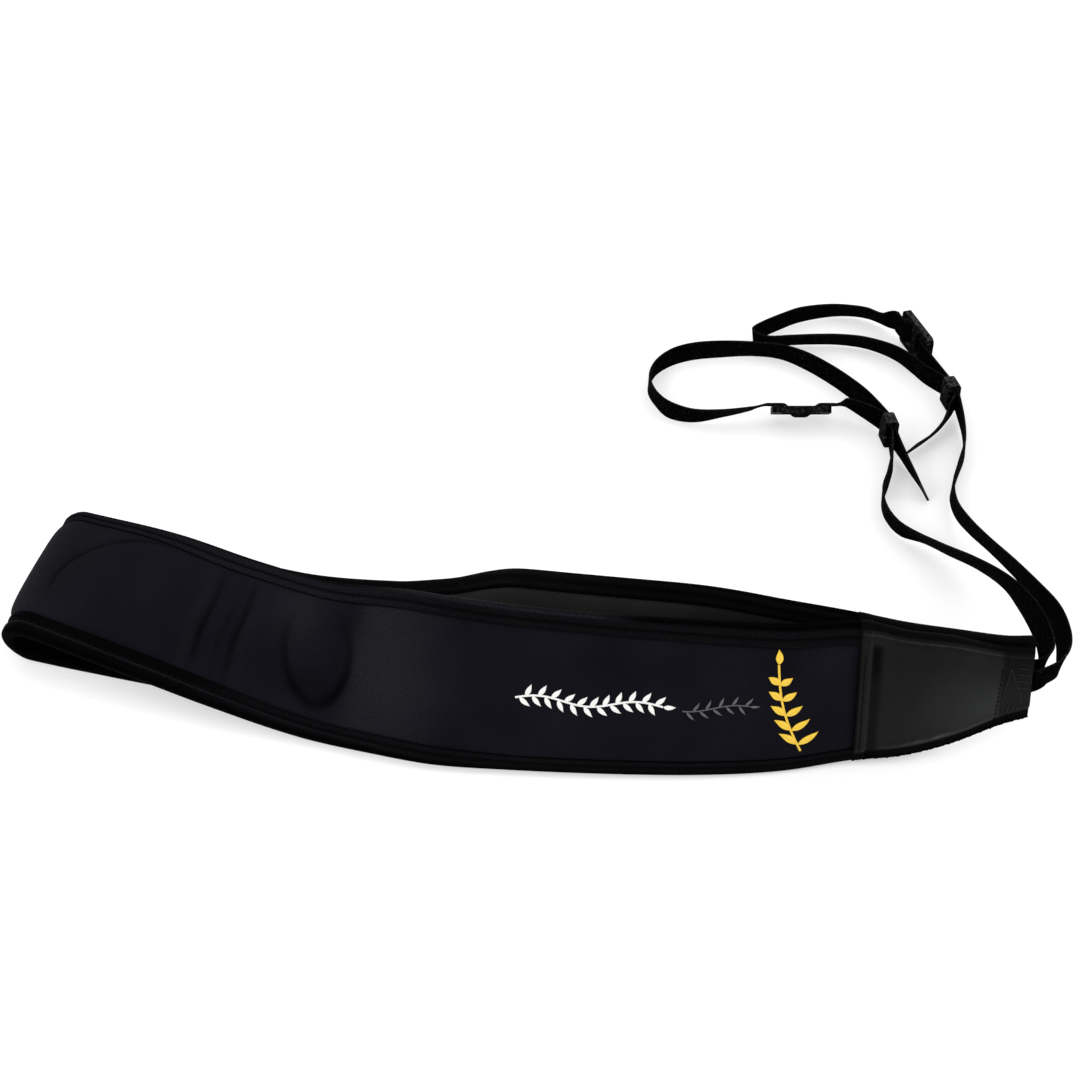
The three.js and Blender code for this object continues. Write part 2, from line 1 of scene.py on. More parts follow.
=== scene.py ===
# %% [markdown]
# # A padded camera neck strap, folded in two and set down
# The strap is a wide band of soft foam, folded in the middle. Tape binds its two long edges, each end
# narrows in a leather pocket, and a thin webbing strap comes out of each pocket.
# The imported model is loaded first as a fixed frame. Every new piece is then worked out from the same
# numbers as the solid it stands for, so that it lies in the same place with no fitting.

# %% Load the fixed frame
import math

import bmesh
import bpy
import numpy as np
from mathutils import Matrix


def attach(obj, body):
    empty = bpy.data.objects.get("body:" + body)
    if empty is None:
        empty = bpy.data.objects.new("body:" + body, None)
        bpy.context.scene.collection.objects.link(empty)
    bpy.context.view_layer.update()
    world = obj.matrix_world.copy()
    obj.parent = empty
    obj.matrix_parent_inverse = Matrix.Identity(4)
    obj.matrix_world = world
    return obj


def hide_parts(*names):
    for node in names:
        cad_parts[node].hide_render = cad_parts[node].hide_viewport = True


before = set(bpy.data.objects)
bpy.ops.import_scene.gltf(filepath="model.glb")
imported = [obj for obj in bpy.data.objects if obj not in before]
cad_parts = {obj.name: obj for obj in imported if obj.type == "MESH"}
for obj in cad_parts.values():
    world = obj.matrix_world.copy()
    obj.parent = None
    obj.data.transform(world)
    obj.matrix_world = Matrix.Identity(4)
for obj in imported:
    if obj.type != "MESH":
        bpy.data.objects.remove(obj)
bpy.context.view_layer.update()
print("pieces in the frame:", sorted(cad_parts))

# %% [markdown]
# ## Curves through a few given rows
# A soft strap could be drawn by pulling points by hand, or by simulating cloth. Here each curve runs
# through a short table of rows, because the same rows then place the foam, the tape, the lining and
# the stitches. The cubic between two rows takes its end slopes from the rows on either side.

# %% Small vector helpers
MM = 0.001


def unit(vectors):
    """Each vector divided by its own length."""
    return vectors / np.linalg.norm(vectors, axis=-1, keepdims=True)


def spherical(heading, rise):
    """A direction from a compass heading and a rise above level, both in degrees."""
    turn, lift = np.radians(heading), np.radians(rise)
    return np.stack([np.cos(lift) * np.cos(turn), np.cos(lift) * np.sin(turn), np.sin(lift)], -1)


def ease(low, high, x):
    """0 below low, 1 above high, and a smooth S between them."""
    t = np.clip((np.asarray(x, float) - low) / (high - low), 0, 1)
    return t * t * (3 - 2 * t)


def window(x, start, full, fade, end):
    """An S up from 0 to 1 between start and full, and an S back to 0 between fade and end."""
    return ease(start, full, x) * (1 - ease(fade, end, x))


def hump(x, middle, reach):
    """A smooth bell: 1 at the middle, nearly 0 at twice the reach."""
    return np.exp(-(((x - middle) / reach) ** 2))


def arch(x):
    """A parabola that is 0 at x = 0 and at x = 1, and 1 half way between them."""
    return 4 * x * (1 - x)


# %% Curves through rows
def knots_of(points):
    """How far along the straight lines between the points each point lies."""
    gaps = np.linalg.norm(np.diff(points, axis=0), axis=1)
    return np.concatenate([[0.0], np.cumsum(gaps)])


def smooth(knots, values, at):
    """Cubic Hermite curve through values at uneven knots; slopes are taken across the neighbours."""
    values, at = np.asarray(values, float), np.asarray(at, float)
    last = len(knots) - 1
    before, after = np.maximum(np.arange(last + 1) - 1, 0), np.minimum(np.arange(last + 1) + 1, last)
    tall = (slice(None),) + (None,) * (values.ndim - 1)
    slope = (values[after] - values[before]) / (knots[after] - knots[before])[tall]
    i = np.clip(np.searchsorted(knots, at, side="right") - 1, 0, last - 1)
    wide = at.shape + (1,) * (values.ndim - 1)
    span = (knots[i + 1] - knots[i]).reshape(wide)
    t = (at - knots[i]).reshape(wide) / span
    rise, leave, arrive = t * t * (3 - 2 * t), t * (1 - t) ** 2 * span, t * t * (t - 1) * span
    return values[i] * (1 - rise) + values[i + 1] * rise + slope[i] * leave + slope[i + 1] * arrive


# %% [markdown]
# ## The band's own coordinates
# Each row is x, y and height on the lower edge of the band's outer face, then the heading and the
# rise of the direction across the band from there, in millimetres and degrees. The front run goes
# from the leather tip on the right to the fold on the left, and the back run returns under it.
# A place on the band is then three numbers: s along the edge, w across it, and d into the foam.

# %% The band's sizes and rows
BAND_WIDTH, TIP_WIDTH, BAND_THICK, FOAM_THICK = 62.0, 31.0, 4.6, 3.4
GAP, TONGUE, LEATHER_THICK, TIP_THICK = 0.3, 1.2, 1.1, 3.8
MIDDLE = np.array([-3.1, 67.0, 0.0])
FRONT_RUN = np.array([
    [178, -56, 13.2, 90, 87], [167.5, -58.5, 11.6, 90, 87], [149, -64.2, 7.5, 90, 87],
    [131, -67.1, 4.2, 88, 87], [113.5, -67.5, 2.4, 86, 86], [87.5, -71.8, 1, 86, 81],
    [58, -74.4, 1.5, 87, 75], [22, -74.2, 2, 87, 70], [-15, -72.3, 2.5, 86, 63],
    [-40, -69.8, 3, 85, 52], [-62, -64.2, 4, 84, 37], [-88, -56, 5.1, 80, 26.6],
    [-121.5, -45.5, 11, 73, 20.6], [-155.5, -31.5, 15.4, 70, 17.8], [-191.1, -16.5, 20.1, 69.5, 10],
])
BACK_RUN = np.array([
    [-192.6, -10.6, 0.5, 69.5, 12], [-162, -19.6, 0, 69.5, 13], [-133, -27.9, 0, 71, 13],
    [-97, -38.6, 0, 77, 13], [-60, -46, 0, 83, 16.5], [-44, -48.5, 0, 84, 21],
    [-32, -50, 0, 85, 26], [-19, -51, 0, 86, 36], [-4, -52, 0, 86, 51], [22, -54, 0, 87, 59],
    [58, -55.5, 0, 87, 67.5], [87, -56, 0.3, 86, 78.5], [113.5, -57, 0.8, 86, 86],
    [131, -56, 3.2, 88, 87], [149, -54.5, 7.5, 90, 87], [167.5, -50, 12.5, 90, 87],
    [178, -47, 14, 90, 87],
])
POCKET_ROWS, FOLD_STEPS = 4, 6


# %% The fold, and the whole edge in one curve
def fold_rows(top, bottom):
    """A half turn from the last front row to the first back row, round an axis across the band."""
    start, end = spherical(top[3], top[4]), spherical(bottom[3], bottom[4])
    across = unit(start + end)
    reach = top[:3] - bottom[:3]
    slide = reach @ across / 2
    out = reach - 2 * slide * across
    radius = np.linalg.norm(out) / 2
    out = unit(out)
    ahead = np.cross(out, across)
    ahead = -ahead if ahead[0] > 0 else ahead
    share = (np.arange(1, FOLD_STEPS) / FOLD_STEPS)[:, None]
    turn = np.pi * share
    edges = (top[:3] + bottom[:3]) / 2 + radius * (np.cos(turn) * out + np.sin(turn) * ahead)
    return edges + slide * np.cos(turn) * across, unit(start * (1 - share) + end * share)


FOLD_EDGES, FOLD_ACROSS = fold_rows(FRONT_RUN[-1], BACK_RUN[0])
EDGES = np.vstack([FRONT_RUN[:, :3], FOLD_EDGES, BACK_RUN[:, :3]])
ACROSS = np.vstack([spherical(*FRONT_RUN[:, 3:].T), FOLD_ACROSS, spherical(*BACK_RUN[:, 3:].T)])
WIDTHS = np.full(len(EDGES), BAND_WIDTH)
WIDTHS[:POCKET_ROWS] = TIP_WIDTH, 35.5, 48.5, 56.5
WIDTHS[-POCKET_ROWS:] = 55.2, 46.6, 35, TIP_WIDTH
KNOTS = knots_of(EDGES)
FRONT_SEAM, BACK_SEAM, LENGTH = KNOTS[POCKET_ROWS], KNOTS[-1 - POCKET_ROWS], KNOTS[-1]
FOLD_START = KNOTS[len(FRONT_RUN) - 1]
FOLD_END = KNOTS[len(FRONT_RUN) - 1 + FOLD_STEPS]
FOLD_MIDDLE = (FOLD_START + FOLD_END) / 2
print(f"edge {LENGTH:.0f} mm, seams at {FRONT_SEAM:.1f} and {BACK_SEAM:.1f}, fold at {FOLD_START:.1f}")


def edge_at(s):
    """The lower edge of the outer face at s."""
    return smooth(KNOTS, EDGES, s)


def across_at(s):
    """The direction across the band at s."""
    return unit(smooth(KNOTS, ACROSS, s))


def width_at(s):
    """The band's width. The tape pulls the fold's upper corner in, which rounds it."""
    return smooth(KNOTS, WIDTHS, s) - 3.4 * hump(s, FOLD_MIDDLE, 8.5)


def on_band(s, w, d):
    """The edge point, plus w along the cross direction, plus d along the inward normal, in metres.
    The normal is the cross product of the way along the band at that w and the cross direction."""
    s = np.asarray(s, float)
    w, d = np.asarray(w, float)[..., None], np.asarray(d, float)[..., None]
    side = across_at(s)
    along = edge_at(s + 0.5) + across_at(s + 0.5) * w - edge_at(s - 0.5) - across_at(s - 0.5) * w
    inward = unit(np.cross(along, side))
    return (edge_at(s) + side * w + inward * d - MIDDLE) * MM


def cloth_uv(s, w):
    """A UV in metres, from how far along and how far across a strip each point lies."""
    return np.stack(np.broadcast_arrays(s, w), -1) * MM


def between_insets(inset, width, t):
    """Places across a strip: t runs from 0 at one inset to 1 at the other."""
    return inset + (width - 2 * inset) * t


def crowded(count, even):
    """Numbers from 0 to 1, closer together at both ends: a share of even steps, the rest a cosine."""
    t = np.linspace(0, 1, count)
    return even * t + (1 - even) / 2 * (1 - np.cos(np.pi * t))


def edge_fall(w, inset, width, reach):
    """1 at either inset, falling off inwards by the exponential of the distance over the reach."""
    return np.exp(-(w - inset) / reach) + np.exp(-(width - inset - w) / reach)


# %% [markdown]
# ## From rings of points to a closed body
# A sewn piece has a thickness, so each one is a stack of closed rings, one ring for each cross
# section, with a face over each end. The faces between two rings are squares made with whole-array
# arithmetic. If the body's volume comes out negative its rings ran the wrong way round, so they are
# turned, and every face then points outwards.

# %% Rings to a mesh
def add_object(name, data):
    """An object that shows a mesh, a lamp or a camera, linked into the scene."""
    made = bpy.data.objects.new(name, data)
    bpy.context.scene.collection.objects.link(made)
    return made


def fill_mesh(name, points, faces, uv, flat_from=None, **marks):
    """Puts points and faces into a mesh, with a UV in metres and named numbers on its points.
    The faces from flat_from on are shaded flat."""
    mesh = bpy.data.meshes.new(name)
    mesh.from_pydata(points.reshape(-1, 3), [], faces)
    mesh.polygons.foreach_set("use_smooth", np.arange(len(faces)) < (flat_from or len(faces)))
    corner = np.zeros(len(mesh.loops), np.int32)
    mesh.loops.foreach_get("vertex_index", corner)
    corner_uv = uv.reshape(-1, 2)[corner].astype(np.float32).ravel()
    mesh.uv_layers.new(name="UVMap").data.foreach_set("uv", corner_uv)
    for mark, values in marks.items():
        column = mesh.attributes.new(mark, "FLOAT", "POINT").data
        column.foreach_set("value", values.astype(np.float32).ravel())
    mesh.validate()
    return add_object(name, mesh)


def stacked_squares(rings, points):
    """Squares between neighbouring rings, each ring closed on itself."""
    i, j = np.arange(rings - 1)[:, None] * points, np.arange(points)
    k = (j + 1) % points
    return np.stack([i + j, i + k, i + k + points, i + j + points], -1).reshape(-1, 4)


def ring_body(name, rings, uv, **marks):
    """A closed body from n rings of m points; uv and each mark hold one value for each point."""
    n, m = rings.shape[:2]
    squares = stacked_squares(n, m)
    a, b, c, d = (rings.reshape(-1, 3)[squares[:, q]] - rings.mean((0, 1)) for q in range(4))
    volume = (a * (np.cross(b, c) + np.cross(c, d))).sum()
    way = -1 if volume < 0 else 1
    marks = {mark: np.broadcast_to(value, (n, m))[:, ::way] for mark, value in marks.items()}
    faces = squares.tolist() + [list(range(m))[::-1], list(range((n - 1) * m, n * m))]
    return fill_mesh(name, rings[:, ::way], faces, uv[:, ::way], len(squares), **marks)


def band_body(name, s, w, d, **marks):
    """A closed body whose rings are given by places on the band."""
    return ring_body(name, on_band(s, w, d), cloth_uv(s, w), **marks)


def finish(piece, material, slot, *replaced):
    """Gives a piece its material, lets it stand for its solids, and rides it on the body. The slot is
    not used.
    """
    piece.data.materials.clear()
    piece.data.materials.append(material)
    if replaced:
        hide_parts(*replaced)
    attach(piece, "root")
    print(f"{piece.name}: {len(piece.data.polygons)} faces")


# %% [markdown]
# ## Camera, floor and light
# The strap is seen from 40 degrees above the table with a long lens, from far enough away that its
# two ends keep nearly the same scale. Everything on it is close to black, so the light has to draw
# it: a pale room all round, one wide lamp above the front, and a softer one from the right. The floor
# is nearly white and glows a little of its own, which keeps the strap's shadow faint.

# %% Camera
LOOK_AT = np.array([0.0031, -0.006, 0.0])
DISTANCE, ELEVATION = 1.4, math.radians(40)
camera = add_object("camera", bpy.data.cameras.new("camera"))
camera.data.lens, camera.data.sensor_width, camera.data.clip_start = 119, 36, 0.01
camera.location = LOOK_AT + DISTANCE * np.array([0, -math.cos(ELEVATION), math.sin(ELEVATION)])
camera.rotation_euler = (math.pi / 2 - ELEVATION, 0, 0)
bpy.context.scene.camera = camera
bpy.context.scene.view_settings.view_transform = "Standard"


# %% Small helpers that add nodes
def wire(made, inputs):
    """Gives a node's inputs numbers, colours of three numbers, or links to other sockets."""
    for key, value in inputs.items():
        if isinstance(value, bpy.types.NodeSocket):
            made.id_data.links.new(value, made.inputs[key])
        else:
            made.inputs[key].default_value = (*value, 1) if made.inputs[key].type == "RGBA" else value


def node(tree, kind, inputs=(), **settings):
    """Adds a node, sets its properties, and gives it its inputs."""
    made = tree.nodes.new(kind)
    for key, value in settings.items():
        setattr(made, key, value)
    wire(made, dict(inputs))
    return made


def compute(tree, operation, first, second=0.0):
    """One sum, product or power of two numbers."""
    return node(tree, "ShaderNodeMath", {0: first, 1: second}, operation=operation).outputs[0]


def multiply(tree, first, second):
    """The product of two numbers."""
    return compute(tree, "MULTIPLY", first, second)


def ramp(tree, value, low, high, start=0.0, end=1.0):
    """A line from start, where the value is low or less, to end, where it is high or more."""
    return node(tree, "ShaderNodeMapRange", {0: value, 1: low, 2: high, 3: start, 4: end}).outputs[0]


def mix(tree, share, first, second, blend="MIX"):
    """The first colour, changed by the second as far as the share says, from 0 to 1."""
    inputs = {0: share, 6: first, 7: second}
    return node(tree, "ShaderNodeMix", inputs, data_type="RGBA", blend_type=blend).outputs[2]


def noise(tree, where, scale, detail):
    """Smooth random cloud, with detail finer layers on top."""
    inputs = {"Vector": where, "Scale": scale, "Detail": detail}
    return node(tree, "ShaderNodeTexNoise", inputs).outputs["Fac"]


def mark_on(tree, name):
    """One of the named numbers that the piece's points carry."""
    return node(tree, "ShaderNodeAttribute", attribute_name=name).outputs["Fac"]


def uv_place(tree):
    """Where a point lies on the piece's UV map, in metres."""
    return node(tree, "ShaderNodeUVMap", uv_map="UVMap").outputs[0]


def bump(tree, height, strength, distance):
    """A normal that leans with the slope of a height, given as a share of the distance."""
    inputs = {"Height": height, "Strength": strength, "Distance": distance}
    return node(tree, "ShaderNodeBump", inputs).outputs[0]


def new_finish(name, **numbers):
    """A material whose shader has its constant numbers set on its own sockets."""
    material = bpy.data.materials.new(name)
    material.use_nodes = True
    shader = material.node_tree.nodes["Principled BSDF"]
    wire(shader, {key.replace("_", " "): value for key, value in numbers.items()})
    return material, material.node_tree, shader


# %% Floor
FLOOR_REACH, FLOOR_DEPTH = 4.0, 0.0002
signs = ((-1, -1), (1, -1), (1, 1), (-1, 1))
corners = [(x * FLOOR_REACH, y * FLOOR_REACH, -FLOOR_DEPTH) for x, y in signs]
floor_mesh = bpy.data.meshes.new("floor")
floor_mesh.from_pydata(corners, [], [(0, 1, 2, 3)])
floor = add_object("floor", floor_mesh)
floor_paint, tree, shader = new_finish(
    "floor_paint", Roughness=0.9, Specular_IOR_Level=0.1,
    Emission_Color=(1, 1, 1), Emission_Strength=0.42,
)
mottle = node(tree, "ShaderNodeTexNoise", {"Scale": 3.0}).outputs["Fac"]
wire(shader, {"Base Color": mix(tree, mottle, (0.61, 0.61, 0.61), (0.63, 0.63, 0.63))})
floor_mesh.materials.append(floor_paint)


# %% Lamps and the room
def lamp(name, place, aim, size, power):
    """A square soft lamp at a place, turned to face a point."""
    light = bpy.data.lights.new(name, "AREA")
    light.size, light.energy = size, power
    holder = add_object(name, light)
    holder.location = place
    x, y, z = np.array(aim, float) - np.array(place, float)
    holder.rotation_euler = (math.atan2(math.hypot(x, y), -z), 0, math.atan2(-x, y))


lamp("front_lamp", place=(-0.9, -1.1, 1.1), aim=(0, 0, 0), size=0.5, power=9)
lamp("right_lamp", place=(1.4, -0.3, 0.8), aim=(0.1, 0, 0), size=0.4, power=5)
room = bpy.data.worlds.new("room")
room.use_nodes = True
wire(room.node_tree.nodes["Background"], {"Color": (1, 1, 1), "Strength": 1.08})
bpy.context.scene.world = room

# %% [markdown]
# ## Cloth, thread and leather as shared effects
# Two effects turn up on many pieces. Cloth has crossing ribs of yarn, at a different pitch on each
# cloth, and every soft thing carries uneven dye with a little pale lint. Each is a node group with
# its own inputs, built once, that reads the piece's UV map, whose unit is a metre along the cloth.


# %% Node groups
NUMBER, PLACE, COLOUR = "NodeSocketFloat", "NodeSocketVector", "NodeSocketColor"


def new_group(name, inputs, outputs):
    """An empty node group, with named inputs and outputs of the kinds given."""
    group = bpy.data.node_groups.new(name, "ShaderNodeTree")
    for way, labels in (("INPUT", inputs), ("OUTPUT", outputs)):
        for label, kind in labels.items():
            group.interface.new_socket(label, in_out=way, socket_type=kind)
    return group, group.nodes.new("NodeGroupInput").outputs, group.nodes.new("NodeGroupOutput")


yarns, given, result = new_group(
    "crossing_yarns", {"Vector": PLACE, "Along": NUMBER, "Across": NUMBER, "Slant": NUMBER},
    {"Height": NUMBER},
)


def ribs(place, pitch):
    """Round ribs: the sine of pi times the place times the pitch, without its sign."""
    turn = multiply(yarns, multiply(yarns, place, pitch), math.pi)
    return compute(yarns, "ABSOLUTE", compute(yarns, "SINE", turn))


along, across = node(yarns, "ShaderNodeSeparateXYZ", {0: given["Vector"]}).outputs[:2]
slanted = compute(yarns, "ADD", along, multiply(yarns, across, given["Slant"]))
rib_along, rib_across = ribs(slanted, given["Along"]), ribs(across, given["Across"])
crossed = compute(yarns, "ADD", rib_along, multiply(yarns, rib_across, rib_along))
wire(result, {"Height": multiply(yarns, crossed, 0.5)})

lint, given, result = new_group(
    "dye_and_lint", {"Vector": PLACE, "Dark": COLOUR, "Light": COLOUR, "Cloud": NUMBER, "Lint": NUMBER},
    {"Color": COLOUR, "Fuzz": NUMBER},
)
where = given["Vector"]
cloud, heather = noise(lint, where, given["Cloud"], 4.0), noise(lint, where, 1500.0, 3.0)
blend = compute(lint, "ADD", multiply(lint, cloud, 0.6), multiply(lint, heather, 0.4))
dyed = mix(lint, ramp(lint, blend, 0.35, 0.65), given["Dark"], given["Light"])
fleck = ramp(lint, noise(lint, where, 2600.0, 1.0), 0.69, 0.76)
dusted = mix(lint, multiply(lint, fleck, given["Lint"]), dyed, (0.16, 0.16, 0.17))
wire(result, {"Color": dusted, "Fuzz": heather})
print("node groups:", [g.name for g in bpy.data.node_groups])


# %% Each cloth from the two effects
def dye_and_lint(tree, where, dark, light, cloud, lint_share):
    """The outputs of the dye group, for clouds of a given scale and a share of pale lint."""
    inputs = {"Vector": where, "Dark": dark, "Light": light, "Cloud": cloud, "Lint": lint_share}
    return node(tree, "ShaderNodeGroup", inputs, node_tree=lint).outputs


def yarn_height(tree, where, along, across, slant):
    """The height of crossing yarns, with so many ribs to the metre along and across."""
    inputs = {"Vector": where, "Along": along, "Across": across, "Slant": slant}
    return node(tree, "ShaderNodeGroup", inputs, node_tree=yarns).outputs["Height"]


def cloth(name, dark, light, worn_and_lit, yarn, depth, specks, rough, specular):
    """Yarn ribs as bump, and uneven dye as colour. The wear mark turns the dye to the worn and lit
    colour and gathers lint. On the knit and the tapes it is a painted highlight, and on other pieces it
    is wear. The hollow mark is painted shade: it takes up to three quarters of the colour and the
    shine."""
    material, tree, shader = new_finish(name, Roughness=rough, Specular_IOR_Level=specular)
    where, wear = uv_place(tree), mark_on(tree, "wear")
    gathered = compute(tree, "ADD", multiply(tree, compute(tree, "POWER", wear, 4.0), 0.5), specks)
    dye = dye_and_lint(tree, where, dark, light, 30.0, gathered)
    weave = yarn_height(tree, where, *yarn)
    # On the knit and the tapes this is a painted highlight, and on other pieces real wear.
    rubbed_and_lit = multiply(tree, wear, ramp(tree, dye["Fuzz"], 0.35, 0.65, 0.45, 1.25))
    colour = mix(tree, rubbed_and_lit, dye["Color"], worn_and_lit)
    # Painted shade: the hollow mark darkens the colour and dims the shine.
    lit = compute(tree, "SUBTRACT", 1.0, multiply(tree, mark_on(tree, "hollow"), 0.75))
    shade = multiply(tree, ramp(tree, weave, 0.0, 0.7, 0.55, 1.0), lit)
    height = compute(tree, "ADD", weave, multiply(tree, dye["Fuzz"], 0.8))
    wire(shader, {
        "Base Color": mix(tree, 1.0, colour, shade, "MULTIPLY"),
        "Specular IOR Level": multiply(tree, lit, specular), "Normal": bump(tree, height, 0.8, depth),
    })
    return material


# The knit's worn colour is the colour of its painted highlight.
knit_face = cloth(
    "knit_face", (0.0026, 0.0024, 0.0046), (0.0062, 0.0059, 0.0094), worn_and_lit=(0.0185, 0.0183, 0.0225),
    yarn=(1400, 2000, 0.35), depth=0.00012, specks=0.06, rough=0.9, specular=0.04,
)
brushed_lining = cloth(
    "brushed_lining", (0.0115, 0.0115, 0.0112), (0.020, 0.020, 0.0193), worn_and_lit=(0.020, 0.020, 0.0193),
    yarn=(1700, 1500, 0.4), depth=0.00012, specks=0.2, rough=0.95, specular=0.04,
)
# The tape's worn colour is the colour of its painted highlight.
ribbed_tape = cloth(
    "ribbed_tape", (0.0007, 0.0007, 0.0009), (0.0024, 0.0024, 0.0028), worn_and_lit=(0.0158, 0.0162, 0.0222),
    yarn=(1250, 420, 0.0), depth=0.00018, specks=0.08, rough=0.65, specular=0.02,
)
web_cloth = cloth(
    "web_cloth", (0.0002, 0.0002, 0.0002), (0.0009, 0.0009, 0.0008), worn_and_lit=(0.035, 0.035, 0.034),
    yarn=(900, 1300, 0.6), depth=0.0003, specks=0.7, rough=0.85, specular=0.004,
)

# %% [markdown]
# ## The foam band
# On the real strap this is soft foam rubber with a fine knit on its face, 3.4 mm thick, sewn between
# two tapes. It could be simulated as cloth, but a remesh at 4 mm would rub out a strap that is only one
# voxel thick, so its shape is written down: a low crown across the width, a quarter-round roll where
# the foam dives under each tape, two straight creases and a curved one where it folds, the oval pillow
# that swells up where the lying part twists to stand, and the squeezed foam's own swelling in the fold.
# Two marks on its points, wear and hollow, say where a highlight is painted on the knit and where shade
# is painted on it.

# %% How wide each tape is, seen on the face
def low_tape(s):
    """The lower tape shows 5.6 mm by the leather and widens to 9.6 mm towards the fold."""
    front = 5.6 + 1.4 * ease(180, 235, s) + 2.6 * ease(250, 340, s)
    return front - 2.6 * ease(FOLD_START, FOLD_END + 30, s)


def high_tape(s):
    """The upper tape shows 9 mm by the leather, 7.4 mm along the middle and 5 mm at the fold."""
    front = 9.0 - 1.6 * ease(70, 190, s) - 2.4 * ease(320, 365, s)
    return front + 2.0 * ease(FOLD_END, FOLD_END + 60, s)


# %% Height of the foam's face
CREASE, NEXT_CREASE, FAINT_CREASE = 319.2, 304.8, 310.5


def fold_swell(s):
    """In the fold the foam is squeezed and swells outwards by up to a millimetre."""
    return hump(s, FOLD_MIDDLE, 13)


def pillow_reach(s, w):
    """The distance from the pillow's middle as a share of its half axes, and how open the valley is
    there: shut at the pillow's top, open round the rest."""
    y = (w - 32.5) / 19.5
    x = (270.5 + 2.2 * y - s) / (14.5 + 2.2 * y)
    from_top = np.abs(np.arctan2(y, x) - np.pi / 2)
    from_top = np.minimum(from_top, 2 * np.pi - from_top)
    return np.hypot(x, y), 1 - hump(from_top, 0, 1.2)


def pillow(s, w):
    """An oval swelling, with a narrow valley round its right, lower and left sides, where r = 1."""
    r, open_side = pillow_reach(s, w)
    return 2.0 * np.clip(1 - r * r, 0, 1) ** 1.1 - 1.1 * hump(r, 1.02, 0.12) * open_side


def bent_lines(s, w, *lines):
    """The sum of lines across the band, each a bell given by its height, its s and its reach. They
    aren't quite straight: each wanders by about a millimetre."""
    bend = 0.9 * np.sin(w / 16) + 0.35 * np.sin(w / 4.1 + 1)
    return sum(height * hump(s, place + bend, reach) for height, place, reach in lines)


def crease_fade(w):
    """A crease fades out toward both tapes, and is deeper in some places than in others."""
    return window(w, 7, 17, 45, 56) * (0.8 + 0.2 * np.sin(w / 5.3 + 2))


def fold_arc(s, w):
    """The distance from the middle of the curved crease as a share of its half axes, and how much of
    it shows, which is nothing away from the fold and near the lower tape."""
    shown = ease(340, 352, s) * ease(14, 28, w)
    return np.hypot((s - 350) / 33.6, (w - 25) / 30), shown


def creases(s, w):
    """Two straight creases across the band with a faint one between, the soft lips beside them, and
    an arc round the fold's corner with a low swelling inside it."""
    straight = crease_fade(w) * bent_lines(
        s, w, (1.1, CREASE, 1.7), (1.0, NEXT_CREASE, 1.6), (0.4, FAINT_CREASE, 1.4),
        (-0.3, 323.2, 2.6), (-0.3, 315.2, 2.4), (-0.18, 301.2, 2.4),
    )
    r, shown = fold_arc(s, w)
    return straight + shown * (0.9 * hump(r, 1.0, 0.03) - 0.3 * ease(0.7, 0.95, r) * (r < 1))


def face_depth(s, w):
    """How far the foam's face lies below the flat outer face, in mm, at s along and w across."""
    low, high = low_tape(s), width_at(s) - high_tape(s)
    x = np.clip((w - low) / (high - low), 0, 1)
    crown = -0.6 * arch(x) - fold_swell(s) * (1 + 1.4 * (1 - (2 * x - 1) ** 8))
    dive = 0.0
    for inwards in (w - low, high - w):
        t = np.clip(inwards / 3.0, 0, 1)
        dive = dive + 1.05 * (1 - np.sqrt(1 - (1 - t) ** 2))
    lazy = 0.10 * np.sin(s / 13 + 0.06 * w) + 0.07 * np.sin(s / 7.3 - w / 11 + 1.0)
    lazy = lazy + 0.05 * np.sin(s / 29 + w / 8)
    front = s < FOLD_START + 20
    relief = np.where(front, creases(s, w) - pillow(s, w), 0.3 * np.sin(s / 21) * np.sin(w / 20))
    inside = ease(0, 4, w - low) * ease(0, 4, high - w)
    return crown + dive + inside * (lazy + relief)


def painted_light_and_shade(s, w):
    """Where a highlight is painted on the knit, and where shade is painted on it, each from 0 to 1. The
    highlight is painted before the pillow, on the pillow's upper end and round the fold, and the shade
    is painted in the pillow's valley, below the pillow and in the creases."""
    left_edge = 260 - 0.10 * (w - 16) + 0.9 * np.sin(w / 4.5)
    before_pillow = window(s, 208, 241, left_edge - 9, left_edge + 3)
    before_pillow = before_pillow * (0.62 + 0.38 * ease(8, 27, w))
    pale = 0.58 * before_pillow + 0.42 * hump(s, 282, 12) * hump(w, 47, 13)
    pale = pale + 0.20 * ease(350, 392, s) + 0.9 * hump(s, FOLD_MIDDLE + 2, 9)
    pale = pale + bent_lines(s, w, (0.10, 323.5, 3.0), (0.10, 300.5, 3.0))
    r, around = pillow_reach(s, w)
    lower_right = (1 - ease(256, 271, s)) * (1 - ease(28, 44, w))
    valley = hump(r, 1.0, 0.12) * around * (0.8 + 0.5 * lower_right)
    lines = ((0.62, CREASE, 1.3), (0.6, NEXT_CREASE, 1.2), (0.25, FAINT_CREASE, 1.2))
    r, shown = fold_arc(s, w)
    dark = 0.58 * valley + 0.45 * hump(s, 272, 13) * hump(w, 19, 7)
    dark = dark + crease_fade(w) * bent_lines(s, w, *lines) + 0.5 * shown * hump(r, 1.0, 0.022)
    front = s < FOLD_START + 24
    return np.clip(pale * front, 0, 1), np.clip(dark * front, 0, 1)


